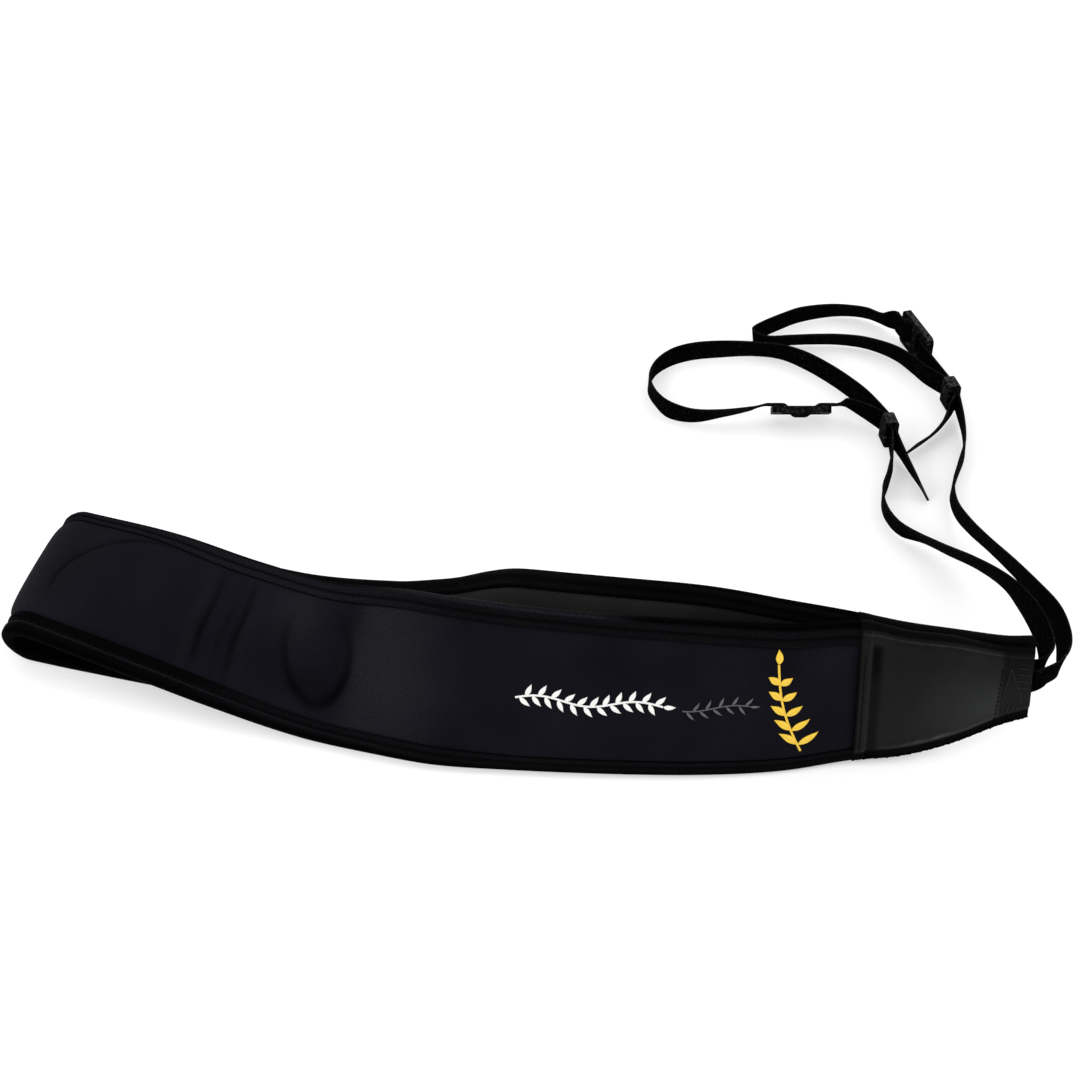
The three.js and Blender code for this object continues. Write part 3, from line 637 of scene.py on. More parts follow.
# %% Make the foam band
UNDER_HEM, CREASED_FROM, CREASED_TO = 3.0, 248, 398
S = np.concatenate([
    np.linspace(FRONT_SEAM - UNDER_HEM, CREASED_FROM, 110)[:-1],
    np.linspace(CREASED_FROM, CREASED_TO, 251),
    np.linspace(CREASED_TO, BACK_SEAM + UNDER_HEM, 200)[1:],
])[:, None]
full = width_at(S)
low, high = low_tape(S), full - high_tape(S)
face_w = low + (high - low) * crowded(62, 0.55)
tuck = np.full_like(S, TONGUE)
outer_w = np.hstack([tuck, 0.5 * low, low - 0.4, face_w, high + 0.4, (high + full) / 2, full - TONGUE])
outer_d = np.hstack([np.repeat(tuck, 3, 1), face_depth(S, face_w), np.repeat(tuck, 3, 1)])
sunk = 2 - ease(FRONT_SEAM - 0.4, FRONT_SEAM + 2.4, S)
sunk = sunk - ease(0.4 - BACK_SEAM, 2.4 - BACK_SEAM, -S)
back_w = between_insets(TONGUE, full, np.linspace(1, 0, 9))
ring_w = np.hstack([outer_w, back_w])
ring_d = np.hstack([outer_d + 0.9 * sunk, np.full_like(back_w, FOAM_THICK)])
# The knit carries a painted highlight in its wear mark and painted shade in its hollow mark.
painted_knit_highlight, painted_knit_shade = painted_light_and_shade(S, ring_w)
band_foam = band_body("neck_pad_knit", S, ring_w, ring_d, wear=painted_knit_highlight, hollow=painted_knit_shade)
finish(band_foam, knit_face, "foam_face", "neck_pad")

# %% [markdown]
# ## The lining
# The side that lies on the neck is a softer brushed cloth. It is one sheet laid on the foam between the
# tapes, so it is a shallow closed body whose free face has a slow ripple. Shade is painted on it where
# it lies deep in the fold, and towards the back pocket.

# %% Make the lining
INSET = 7.3


def there_and_back(w, near, free):
    """A closed ring that runs across the band at one depth and comes back at another."""
    return np.hstack([w, w[:, ::-1]]), np.hstack([near + 0 * w, free[:, ::-1]])


t = np.linspace(0, 1, 26)
lining_w = between_insets(INSET, full, t)
ripple = 0.12 * np.sin(S / 9 + lining_w / 17) + 0.08 * np.sin(S / 5.2 - lining_w / 9) + 0.35 * arch(t)
free_d = BAND_THICK + ripple * 0.5 - 0.55 * edge_fall(lining_w, INSET, full, 0.8) - 0.5 * sunk
ring_w, ring_d = there_and_back(lining_w, FOAM_THICK + GAP, free_d)
# Painted shade deep in the fold and towards the back pocket.
painted_lining_shade = hump(S, FOLD_MIDDLE, 30) + 0.6 * ease(625, 700, S)
lining = band_body("lining_cloth", S, ring_w, ring_d, wear=0.0, hollow=painted_lining_shade)
finish(lining, brushed_lining, "pad_lining", "pad_lining")

# %% [markdown]
# ## The edge tapes and their stitches
# Each long edge is wrapped in a ribbed tape, folded over the foam and sewn through the middle of each
# half. The row of stitches pulls a groove into the tape, so that it reads as two soft ridges. The
# tape's cross section is a smooth path through fifteen places, and its other side is the same path
# moved inwards along its own normal by the tape's thickness.

# %% Tape cross section
TAPE_THICK, INNER_TAPE, TAPE_GIRTH, TAPE_PITCH = 0.8, 7.0, 0.019, 2.6
RIDGE_SHARE, GROOVE_SHARE = 0.45, 0.58


def tape_path(shown, count):
    """The tape's outside from its edge on the face, round the rim, to its edge on the lining.
    Each row gives w as a share of the tape's shown width plus millimetres, and d in millimetres."""
    share, plus, depth = np.array([
        (1, 0, 0.85), (1, -0.25, 0.3), (0.80, 0, -0.14), (GROOVE_SHARE, 0, 0.34), (0.36, 0, -0.16),
        (0, 1.15, 0), (0, 0.3, 0.7), (0, 0, 2.3), (0, 0.3, 3.9), (0, 1.2, 4.62), (0, 2.4, 4.74),
        (0, 4, 4.3), (0, 5.6, 4.72), (0, 6.75, 4.4), (0, INNER_TAPE, 3.85),
    ]).T
    w = share[:, None] * shown.ravel() + plus[:, None]
    places = np.stack(np.broadcast_arrays(w, depth[:, None]), -1)
    knots = knots_of(places[:, 0])
    return np.swapaxes(smooth(knots, places, np.linspace(0, knots[-1], count)), 0, 1)


def tape_ring(shown):
    """The outside path, then the same path moved inwards, run backwards."""
    count = 46
    outside = tape_path(shown, count)
    way = unit(np.gradient(outside, axis=1))
    inwards = np.stack([way[..., 1], -way[..., 0]], -1)
    turned = np.sign(inwards[:, count // 2, 0])[:, None, None]
    thin = TAPE_THICK * np.clip(np.minimum(np.arange(count), np.arange(count)[::-1]) / 2.0, 0.35, 1)
    inside = outside + inwards * turned * thin[:, None]
    return np.concatenate([outside, inside[:, ::-1][:, ::2]], 1)


# %% Make the two tapes
def tape_marks(w, d, shown, upper):
    """The wear and hollow marks of a tape, which here are painted highlight and painted shade. A faint
    highlight is painted on its flat face, and a stronger one along a ridge in the left half and on the
    upper tape's rim before the pillow. Shade is painted in the groove, on the rest of the rim, on the
    lower tape where it nears the fold, and where that tape faces into the fold."""
    on_face, outside = d < 2, d < 4
    before_fold = 1 - ease(FOLD_END - 8, FOLD_END + 8, S)
    left_half = ease(215 - 15 * upper, 275, S) * before_fold
    flat = (d < 0.6) * ease(0.6, 1.6, w)
    bright_rim = upper * window(S, 140, 165, 225, 265) * outside
    pale = (0.08 + 0.34 * upper * left_half) * flat
    pale = pale + 0.40 * (1 - upper) * left_half * hump(w, RIDGE_SHARE * shown, 0.3) * flat
    pale = pale + 0.6 * bright_rim * hump(w, 0.8, 0.6)
    groove = 0.8 * hump(w, GROOVE_SHARE * shown, 0.5) * on_face
    rim = 0.95 * (1 - bright_rim) * (1 - ease(0.6, 1.9 if upper else 3.2, w)) * outside
    dusk = (0.25 * ease(250, 290, S) + 0.55 * ease(290, 318, S)) * before_fold
    dusk = dusk * (1 - hump(w, RIDGE_SHARE * shown, 0.8))
    near_fold = window(S, FOLD_START - 75, FOLD_START - 40, FOLD_END + 60, FOLD_END + 95)
    mouth = np.maximum(ease(2.2, 3.4, d), ease(FOLD_END - 12, FOLD_END + 4, S))
    lower_only = (1 - upper) * np.maximum(dusk, 0.95 * near_fold * mouth)
    return pale, np.maximum(np.maximum(groove, rim), lower_only)


def make_tape(name, shown_at, upper, replaced):
    """The tape's section at every station, measured from the lower or from the upper edge. It
    puckers a little between the stitches, and swells with the foam in the fold."""
    shown, section = shown_at(S), tape_ring(shown_at(S))
    w = section[..., 0]
    d = section[..., 1] + 0.05 * np.sin(2 * np.pi * S / TAPE_PITCH) * hump(w, 0.5 * shown, 2.4)
    d = d - fold_swell(S) * np.clip(1 - d / 3, 0, 1)
    # The tape's wear mark is a painted highlight, and its hollow mark is painted shade.
    pale, dark = tape_marks(w, d, shown, upper)
    uv = cloth_uv(S, np.linspace(0, TAPE_GIRTH / MM, w.shape[1]))
    piece = ring_body(name, on_band(S, full - w if upper else w, d), uv, wear=pale, hollow=dark)
    finish(piece, ribbed_tape, "edge_binding", replaced)


make_tape("lower_tape", low_tape, False, "binding_lower")
make_tape("upper_tape", high_tape, True, "binding_upper")


# %% Stitches
def stitches(name, rows, radius, material, slot):
    """Short threads, all at once, from rows of starts, ends and outward ways. Each is a straight line
    that rises by half its radius in the middle and thins to nothing at both ends. It has six rings of
    six points."""
    starts, ends, outs = (np.concatenate(column) for column in zip(*rows))
    sides = 6
    t = np.linspace(0, 1, sides)[:, None]
    turn = np.linspace(0, 2 * np.pi, sides, endpoint=False)
    way = unit(ends - starts)
    side = unit(np.cross(way, outs))
    up = np.cross(side, way)
    lifted = up[:, None] * (0.5 * radius * np.sin(np.pi * t))
    core = starts[:, None] + (ends - starts)[:, None] * t + lifted
    thick = radius * np.sqrt(np.clip(np.sin(np.pi * (0.06 + 0.88 * t)), 0, 1))
    ring = side[:, None] * np.cos(turn)[:, None] + up[:, None] * np.sin(turn)[:, None]
    points = core[:, :, None] + thick[None, :, None] * ring[:, None]
    first = np.arange(len(starts))[:, None, None] * sides * sides
    squares = (stacked_squares(sides, sides) + first).reshape(-1, 4).tolist()
    caps = np.arange(sides)[::-1], np.arange(sides) + sides * (sides - 1)
    shut = [face for cap in caps for face in (first[:, 0] + cap).tolist()]
    uv = cloth_uv(2 * t, 0.2 * turn)
    uv = np.broadcast_to(uv, (len(starts), *uv.shape))
    finish(fill_mesh(name, points, squares + shut, uv), material, slot)


def stitch_ends(place, begins, stops):
    """Both ends of each stitch and the way out of the surface at its middle; place(t, lift) gives
    the seam's line, lifted off the surface by lift."""
    middle = (begins + stops) / 2
    return place(begins, 0), place(stops, 0), unit(place(middle, 0.2) - place(middle, 0))


def tape_seam(upper, shown_at, inner):
    """Stitches along the groove in one half of a tape, from seam to seam."""
    share = 0.9

    def place(s, lift):
        """The seam's w from the tape's own edge, and the tape's depth there, raised by lift."""
        w = 4.0 if inner else GROOVE_SHARE * shown_at(s)
        d = 4.3 + lift if inner else 0.3 - lift - fold_swell(s)
        return on_band(s, width_at(s) - w if upper else w + 0 * s, d + 0 * s)

    begins = np.arange(FRONT_SEAM + 1, BACK_SEAM - 1 - TAPE_PITCH, TAPE_PITCH)
    begins = begins + TAPE_PITCH * (1 - share) / 2
    return stitch_ends(place, begins, begins + TAPE_PITCH * share)


def thread_finish(name, dark, light, rough, specular):
    """Twisted thread: a slanting ply pattern in the piece's own UV."""
    material, tree, shader = new_finish(name, Roughness=rough, Specular_IOR_Level=specular)
    ply = yarn_height(tree, uv_place(tree), 2600.0, 900.0, 0.8)
    dyed = mix(tree, ply, dark, light)
    wire(shader, {"Base Color": dyed, "Normal": bump(tree, ply, 0.6, 0.0001)})
    return material


DARKEST, DARK = (0.0006, 0.0006, 0.0007), (0.0028, 0.0028, 0.0031)
black_thread = thread_finish("black_thread", DARKEST, DARK, 0.6, 0.03)
grey_thread = thread_finish("grey_thread", (0.008, 0.0085, 0.008), (0.026, 0.027, 0.026), 0.6, 0.05)
rows = [
    tape_seam(upper, shown, inner)
    for upper, shown in ((False, low_tape), (True, high_tape)) for inner in (False, True)
]
stitches("tape_stitches", rows, 0.2 * MM, black_thread, "edge_binding")

# %% [markdown]
# ## The leather pockets
# The band's ends are sewn into pockets of smooth leather that narrow to the webbing. On each, the
# leather is turned over both edges, a flat hem lies over the band, a thin raised cord runs under the
# top edge, and the lower edge is rough where it was cut and overcast. All of it is one formula for
# the depth of the leather's face, so that hem, cord and panel meet without a join. Black stitches
# hold the seams, and grey bar stitches mark a triangle with a hatch on both sides at the tip.

# %% Depth of the leather's face
HEM, STRIP, EDGE = 4.4, 8.8, 0.9
POCKET, POCKET_STEPS = FRONT_SEAM, 150


def from_seam(s):
    """How far a place is from its own seam with the band, in mm, on either pocket."""
    return np.where(s < LENGTH / 2, FRONT_SEAM - s, s - BACK_SEAM)


def thick_at(along):
    """The pocket's thickness, which falls evenly from the seam to the tip."""
    return BAND_THICK + (TIP_THICK - BAND_THICK) * along / POCKET


def over_band(along):
    """The hem stands 0.3 mm proud all round, to lie over the tape and the foam."""
    return 0.3 * (1 - ease(3.2, 5.5, along))


def leather_face(s, w):
    """Depth below the flat face, in mm: a crown, minus the hem and the panel's puffed edge, plus the
    sunk strip beside the hem, the sewn border below, and the row of stitches before the tip."""
    along, width = from_seam(s), width_at(s)
    crown = -0.8 * np.sqrt(1 - np.clip(along / POCKET, 0, 1)) * arch(w / width)
    hem = -0.35 * (1 - ease(HEM - 0.5, HEM + 0.3, along))
    strip = 0.45 * window(along, HEM, HEM + 0.8, STRIP - 1.0, STRIP + 0.6)
    strip = strip * (1 - ease(width - 9, width - 5, w))
    border = 0.5 * (1 - ease(4.2, 5.6, w)) - 0.3 * hump(w, 6.3, 0.9)
    cord = -0.4 * hump(width - w, 2.2, 0.6) + 0.3 * hump(width - w, 3.6, 0.6)
    sewn = 0.35 * hump(along, POCKET - 12.0 - 0.10 * (14 - w), 0.7)
    box = 0.18 * ease(POCKET - 11.5, POCKET - 10, along)
    soft = 0.09 * np.sin(s / 8 + w / 6) + 0.06 * np.sin(s / 3.7 - w / 4.3)
    soft = soft * ease(0, 6, along)
    return crown + hem + strip + border + cord + sewn + box + soft - over_band(along)


# %% Leather finish
smooth_leather, tree, shader = new_finish("smooth_leather")
where = uv_place(tree)
# The polish mark makes the leather glossier and paints a reflection as a paler colour. The wear mark
# paints scuffs with a highlight. The rough-edge mark darkens the cut edge and the seam, and paints
# shade in the sunk strip and on the upper rim, where it also dims the shine.
polish_and_highlight, scuff_and_highlight, rough_edge_and_shade = (mark_on(tree, name) for name in ("polish_and_highlight", "wear", "rough_edge_and_shade"))
dye = dye_and_lint(tree, where, (0.0024, 0.0026, 0.0025), (0.0050, 0.0053, 0.0051), 60.0, 0.05)
painted_sheen = mix(tree, polish_and_highlight, dye["Color"], (0.019, 0.020, 0.020))
broken = noise(tree, where, 400.0, 4.0)
patchy = multiply(tree, scuff_and_highlight, ramp(tree, broken, 0.35, 0.6, 0.2, 1.0))
worn_and_lit = mix(tree, patchy, painted_sheen, (0.05, 0.052, 0.052))
cells = {"Vector": where, "Scale": 1300.0}
grain = node(tree, "ShaderNodeTexVoronoi", cells, feature="DISTANCE_TO_EDGE")
pebble = ramp(tree, grain.outputs["Distance"], 0.0, 0.25)
coarse = multiply(tree, multiply(tree, noise(tree, where, 1100.0, 5.0), rough_edge_and_shade), 6.0)
fine = compute(tree, "ADD", coarse, multiply(tree, broken, 0.6))
height = compute(tree, "ADD", multiply(tree, pebble, 0.5), fine)
# The darkest colour stands for the rough edge together with the painted shade.
wire(shader, {
    "Base Color": mix(tree, rough_edge_and_shade, worn_and_lit, (0.0015, 0.0015, 0.0015)),
    "Specular IOR Level": ramp(tree, rough_edge_and_shade, 0.0, 1.0, 0.05, 0.005),
    "Roughness": ramp(tree, polish_and_highlight, 0.0, 0.6, 0.52, 0.4), "Normal": bump(tree, height, 0.55, 0.00012),
})


# %% Make the pockets
def pocket_ring(s):
    """One closed ring of (w, d) at each station: the face, the two round edges, the turned-over
    strips behind, and the hollow that the webbing and the liner fill. A turned-over strip is the
    same path at both edges, given by how far in from the edge and how deep it lies."""
    width, along = width_at(s), from_seam(s)
    depth = thick_at(along) + over_band(along)
    face_w = between_insets(EDGE, width, crowded(64, 0.6))
    face_d = leather_face(s, face_w) + 0.25 * edge_fall(face_w, EDGE, width, 0.5)
    turn = np.linspace(0.08, 0.92, 9) * np.pi
    bulge = (1.05 + over_band(along)) * np.sin(turn)
    edge_d = depth / 2 - depth / 2 * np.cos(turn)
    ragged = 0.38 * np.sin(s * 2.3) * np.sin(s * 0.71 + 1) + 0.22 * np.sin(s * 5.1)
    upper_w, lower_w = width - EDGE + bulge, EDGE - bulge + ragged * np.sin(turn)
    crown = 0.8 * np.sqrt(np.clip(1 - along / POCKET, 0, 1))
    inner = depth - 1.0
    strip = [(EDGE, depth), (2.5, depth + 0.05), (4, depth), (4, inner), (1.2, inner), (1.2, 1.25)]
    hollow = [(x * width, 1.55 - crown * arch(x)) for x in (0.85, 0.7, 0.5, 0.3, 0.15)]
    behind = [(width - w, d) for w, d in strip] + hollow + strip[::-1]
    ring_w = np.hstack([face_w, upper_w, *(w + 0 * s for w, d in behind), lower_w[:, ::-1]])
    ring_d = np.hstack([face_d, edge_d, *(d + 0 * s for w, d in behind), edge_d[:, ::-1]])
    return ring_w, ring_d


def leather_marks(s, w, d):
    """The wear, polish and rough-edge marks of a pocket. It is scuffed, with a painted highlight, on
    the cord, the border and the hem, and polished along its lower middle, which makes it glossier and
    paints a reflection there. It is dark at the rough border and the seam, darker at the tip, and shade
    is painted in the sunk strip and along the upper rim."""
    along, width = from_seam(s), width_at(s)
    on_face = d < 1.5
    scuffed_and_lit = 0.35 * hump(width - w, 2.9, 0.4) + 0.9 * hump(w, 6.2, 0.55) * hump(along, 31, 14)
    scuffed_and_lit = (scuffed_and_lit + 0.12 * hump(along, 4.2, 0.4)) * on_face
    polished_and_lit = (0.12 + 0.63 * ease(12, 56, along)) * hump(w / width, 0.3, 0.36)
    # Painted shade in the sunk strip, stronger towards the upper edge.
    strip = window(along, HEM, HEM + 0.9, STRIP - 1.8, STRIP + 0.8)
    strip = strip * (1 - ease(width - 9, width - 6, w))
    bevel = 0.65 + 0.35 * ease(0.5 * width, 0.8 * width, w)
    # Painted shade along the upper rim.
    rim = np.where(on_face, 1 - ease(0.4, 2.0, width - w), 1.0)
    dark = np.maximum.reduce(np.broadcast_arrays(
        1 - ease(3.6, 4.8, w), 0.9 * bevel * strip, 0.9 * (1 - ease(0.3, 1.3, along)),
        0.6 * ease(POCKET - 12.6, POCKET - 11.4, along),
        0.95 * rim * ease(0.5 * width, 0.6 * width, w),
    ))
    return {"wear": scuffed_and_lit, "polish_and_highlight": polished_and_lit, "rough_edge_and_shade": dark}


def make_pocket(side, start, end):
    """The pocket and its liner, from the seam to the tip."""
    s = np.linspace(start, end, POCKET_STEPS)[:, None]
    w, d = pocket_ring(s)
    piece = band_body(f"leather_{side}", s, w, d, **leather_marks(s, w, d))
    finish(piece, smooth_leather, "leather", f"leather_{side}_outer")
    t, depth = np.linspace(0, 1, 18), thick_at(from_seam(s))
    liner_w = between_insets(4.3, width_at(s), t)
    pressed = 0.12 * np.sin(s / 6 + liner_w / 5) - 0.2 * arch(t)
    w, d = there_and_back(liner_w, depth - 1.0, depth + 0.1 - pressed * 0.6)
    no_marks = dict.fromkeys(("wear", "polish_and_highlight", "rough_edge_and_shade"), 0.0)
    liner = band_body(f"leather_{side}_inside", s, w, d, **no_marks)
    finish(liner, smooth_leather, "leather", f"leather_{side}_liner")


make_pocket("front", FRONT_SEAM, 0.0)
make_pocket("back", BACK_SEAM, LENGTH)


# %% Leather stitches
TIPS = ((0.0, 1), (LENGTH, -1))


def sewn_line(tip, inwards, start, end, pitch=1.9, share=0.72):
    """A straight row of stitches on a pocket between two places given as (mm from the tip, w)."""
    start, end = np.array(start, float), np.array(end, float)
    count = max(2, int(np.linalg.norm(end - start) / pitch))
    begins = (np.arange(count) + (1 - share) / 2) / count

    def place(t, lift):
        """Straight from start to end as t goes from 0 to 1, just above the leather's face."""
        x, w = (start + (end - start) * t[:, None]).T
        s = tip + inwards * x
        return on_band(s, w, leather_face(s, w) - 0.05 - lift)

    return stitch_ends(place, begins, begins + share / count)


def overcast(tip, inwards):
    """Slanting stitches over the lower cut edge."""
    x = np.arange(1.0, 62.0, 1.15)
    level = 0 * x
    s0, s1, w1 = tip + inwards * x, tip + inwards * (x + 0.7), 3.5 + 0.25 * np.sin(x * 3.3)
    begin = on_band(s0, 0.5 + level, leather_face(s0, 0.5 + level) + 0.35)
    stop = on_band(s1, w1, leather_face(s1, w1) + 0.05)
    return begin, stop, unit(on_band(s0, 2 + level, level - 0.2) - on_band(s0, 2 + level, level))


rows = []
for tip, inwards in TIPS:
    rows += [
        sewn_line(tip, inwards, (12.0, 27.5), (13.4, 4.0)),
        sewn_line(tip, inwards, (64.6, 50.0), (64.6, 5.0), 1.9, 0.88),
        overcast(tip, inwards),
    ]
stitches("leather_stitches", rows, 0.24 * MM, black_thread, "leather")

corners = (8.6, 26.0), (11.4, 11.0), (3.4, 11.0)
bars = [(corners[k], corners[(k + 1) % 3]) for k in range(3)]
bars += [((10.9 - k, 6.0), (9.6 - k, 10.0)) for k in range(0, 8, 2)]
bars += [((5.8, 25.5 - 3 * k), (1.4, 23.5 - 3 * k)) for k in range(4)]
rows = [sewn_line(*tip, *bar, 1.5, 0.85) for tip in TIPS for bar in bars]
stitches("bar_stitches", rows, 0.2 * MM, grey_thread, "leather")

# %% [markdown]
# ## Satin embroidery
# The face carries a small stitched ornament: a pale garland of leaves that turns dim towards the
# leather, and a yellow leafy sprig. Satin stitch lays threads side by side across a raised
# shape, so each stem or leaf is a low dome carried along a line on the band, with a ridge for every
# thread.

# %% Satin shapes
def satin(line, half_width):
    """Rings of one satin shape along a line of (s, w) places. Across it x runs from -1 to 1, and the
    height is the dome's times the square root of 1 - x*x, with a ridge for each thread. The last two
    places of a ring lie under the face."""
    height, thread, under = 0.42, 0.42, 0.15
    way = unit(np.gradient(line, axis=0))
    length = knots_of(line)[:, None]
    half = half_width[:, None]
    x = np.array([-1, -0.85, -0.5, 0, 0.5, 0.85, 1, 0.4, -0.4])
    top = np.array([1, 1, 1, 1, 1, 1, 1, 0, 0])
    ridges = 0.72 + 0.28 * np.abs(np.sin(np.pi * length / thread))
    dome = np.sqrt(1 - np.clip(np.abs(x), 0, 0.999) ** 2) * top
    rise = height * np.clip(half / 0.5, 0.3, 1) * ridges * dome - under * (1 - top)
    s = line[:, :1] - way[:, 1:] * x * half
    w = line[:, 1:] + way[:, :1] * x * half
    return on_band(s, w, face_depth(s, w) - rise), cloth_uv(length, x)


def embroider(name, shapes, material):
    """Joins many satin shapes into one mesh, each a closed body with shut ends."""
    points, uvs, faces, first = [], [], [], 0
    for rings, uv in shapes:
        n, m = rings.shape[:2]
        faces += (stacked_squares(n, m) + first).tolist()
        faces += [[first + j for j in range(m)][::-1], [first + (n - 1) * m + j for j in range(m)]]
        points.append(rings.reshape(-1, 3))
        uvs.append(uv.reshape(-1, 2))
        first += n * m
    piece = fill_mesh(name, np.vstack(points), faces, np.vstack(uvs))
    work = bmesh.new()
    work.from_mesh(piece.data)
    bmesh.ops.recalc_face_normals(work, faces=work.faces)
    work.to_mesh(piece.data)
    work.free()
    finish(piece, material, "foam_face")


def leaf(root, angle, size, half):
    """A pointed leaf: its half width follows a skewed sine from root to tip."""
    t = np.linspace(0, 1, int(size * 9))
    curve = np.radians(angle) + 0.35 * (t - 0.5)
    steps = np.stack([-np.cos(curve), np.sin(curve)], -1) * size / len(t)
    line = np.array(root) + np.cumsum(steps, axis=0)
    return satin(line, half * np.clip(np.sin(np.pi * t ** 0.8), 0.05, 1))


# %% The garland and the sprig
def stem_height(s):
    """The garland's stem waves slowly across the band: a sine with a wave every 36 mm."""
    return 28.3 + 1.5 * np.sin(2 * np.pi * (191 - s) / 36)


def garland(start, end, half, leaf_size, leaf_half):
    """A stem along the band, with a pair of leaves at every pitch of its length and one at its end.
    Each leaf leans forward from the stem."""
    pitch = 4.7
    s = np.linspace(start, end, int(abs(end - start) * 9))
    shapes = [satin(np.stack([s, stem_height(s)], -1), half + 0 * s)]
    for root in np.arange(start - 2.5, end + 2.0, -pitch):
        slope = math.degrees(math.atan2(stem_height(root - 1) - stem_height(root), 1))
        for way in (1, -1):
            place = root - 0.22 * pitch * way
            shapes.append(leaf((place, stem_height(place)), slope + 52 * way, leaf_size, leaf_half))
    shapes.append(leaf((end, stem_height(end)), 0, leaf_size * 0.9, leaf_half))
    return shapes


def leafy_sprig():
    """A stem that bows as it rises across the band, with five pairs of leaves and one at the top."""
    t = np.linspace(0, 1, 380)
    stem = np.stack([86.5 + 9.5 * t + 2.2 * np.sin(np.pi * t), 9 + 38 * t], -1)
    shapes = [satin(stem, 0.45 + 0 * t)]
    for k in range(5):
        shapes += [leaf(stem[30 + 66 * k], angle, 9.0 - 0.9 * k, 1.5) for angle in (32, 142)]
    return [*shapes, leaf(stem[-1], 92, 6.0, 1.4)]


cream_thread = thread_finish("cream_thread", (0.55, 0.55, 0.53), (0.9, 0.9, 0.88), 0.5, 0.3)
dim_thread = thread_finish("dim_thread", (0.03, 0.032, 0.034), (0.12, 0.125, 0.13), 0.5, 0.3)
yellow_thread = thread_finish("yellow_thread", (0.55, 0.32, 0.02), (0.9, 0.62, 0.06), 0.45, 0.3)
embroider("pale_garland", garland(190.5, 137.0, 0.42, 5.2, 0.95), cream_thread)
embroider("dim_garland", garland(130.0, 106.0, 0.26, 4.6, 0.55), dim_thread)
embroider("yellow_sprig", leafy_sprig(), yellow_thread)

# %% [markdown]
# ## The webbing straps
# Each webbing strap is sewn into a pocket, runs through a flat keeper, turns round the middle bar of
# a buckle, makes the loop for the camera's lug and comes back through the keeper as a short tail.
# It is a thin section with rounded selvedges, carried along the rows below. Each row is x, y, height,
# and the lean from upright, in millimetres and degrees.

# %% Webbing rows
INNER_WEB = {
    "to_keeper": [
        (183, -46, 30, -4), (185, -40, 30.5, -30), (185, -31, 30.5, -32), (183.5, -19.5, 29, -27),
        (180.5, -5.5, 26, -14), (175, 12.5, 21, 12), (166.5, 29, 15.5, 26), (156.5, 43, 10.5, 31),
        (148.5, 54, 7, 32), (140.6, 62, 5.5, 14), (136.2, 72.6, 5, 6), (135.8, 83, 5, 0),
        (138.6, 93.5, 5, 0), (141, 104, 6, 2),
    ],
    "keeper": (141, 122.5, 6.5, 102, -4), "main_side": -1,
    "loop": [(130.5, 134, 8.4, 14), (124.5, 136, 10.1, 34)],
    "buckle": (106, 135, 9.7, 180, 49), "buckle_side": -1,
    "loop_end": [
        (86, 133.2, 9.2, 46), (74, 133, 6.9, 36), (62, 134, 5, 18), (52.5, 138, 5, 5),
        (47.2, 146, 5, 6), (45, 155.5, 5, -2), (47.6, 165.4, 5, -7), (54.4, 173, 5, -4),
        (63.5, 177.2, 5, -4), (75, 178.8, 5, -7), (88.5, 179, 5, -15), (100, 177, 5, -13),
        (110, 171, 5, -2), (119.5, 162, 5, 3), (127.5, 152.5, 5, 6), (133.5, 143, 5.5, 8),
    ],
    "tail": [(145, 110, 6, -5), (147.6, 102, 5, -12), (150.5, 92, 5, -20), (152.4, 84, 5, -23)],
}
OUTER_WEB = {
    "to_keeper": [
        (183, -52, 30.5, -6), (188.5, -48, 31, -10), (191.2, -40, 31.5, -29), (192.1, -28.5, 30, -27),
        (191, -14.5, 27.5, -18), (187.1, 1, 24, -4), (180.8, 22, 18.5, 7), (173.5, 43.5, 12.5, 14),
        (167.5, 60, 8.5, 9), (164, 73, 6, 3), (163.5, 85.5, 5, -4), (166.5, 97.5, 5, -4),
        (170.5, 111.5, 5, 0), (171.5, 124.5, 5.5, 2),
    ],
    "keeper": (168, 146.5, 6.5, 106, -3), "main_side": 1,
    "loop": [],
    "buckle": (154.7, 180.7, 8, 111, -4), "buckle_side": 1,
    "loop_end": [
        (145.4, 197.6, 6, 22), (138.5, 203.1, 5.5, 26), (131, 205.8, 5, 26), (121.5, 205.8, 5, 20),
        (109.5, 202.8, 5, 12), (101.3, 198.1, 5, 9), (92.6, 191.8, 5, 5), (89.4, 187.2, 5, -6),
        (94.6, 184.2, 5, -24), (104, 185, 5, -29), (113, 185.6, 5, -29), (123.5, 185.6, 5, -28),
        (133.5, 184, 5, -25), (141.5, 180.5, 5, -20), (148.5, 175.5, 5, -12), (154, 168, 5.5, -4),
        (159, 160, 6, 0),
    ],
    "tail": [(166, 134.5, 6, 6), (162.5, 127, 5.5, 22), (156.5, 119, 5, 34), (149.5, 112, 5, 34)],
}
WEB_WIDTH, WEB_THICK, WEB_TUCK, LAYER_PITCH = 9.5, 1.1, 18.0, 1.5
BUCKLE_LENGTH, BUCKLE_BAR, BUCKLE_SLOT, BUCKLE_RISE = 24.0, 3.6, 6.2, 4.5
KEEPER_REACH, BUCKLE_REACH, NEAR_END, WEB_PROBE, WEB_STEPS = 6.0, 14.5, 0.87, 0.3, 760


# %% Where the webbing runs
def piece_frame(place):
    """The centre of a hard piece that the webbing runs through, the way along it, and out of it."""
    x, y, height, heading, lean = place
    along = spherical(heading, 0.0)
    left = np.cross((0, 0, 1), along)
    across = np.array([0, 0, math.cos(math.radians(lean))]) + left * math.sin(math.radians(lean))
    return np.array([x, y, height], float), along, np.cross(along, across)


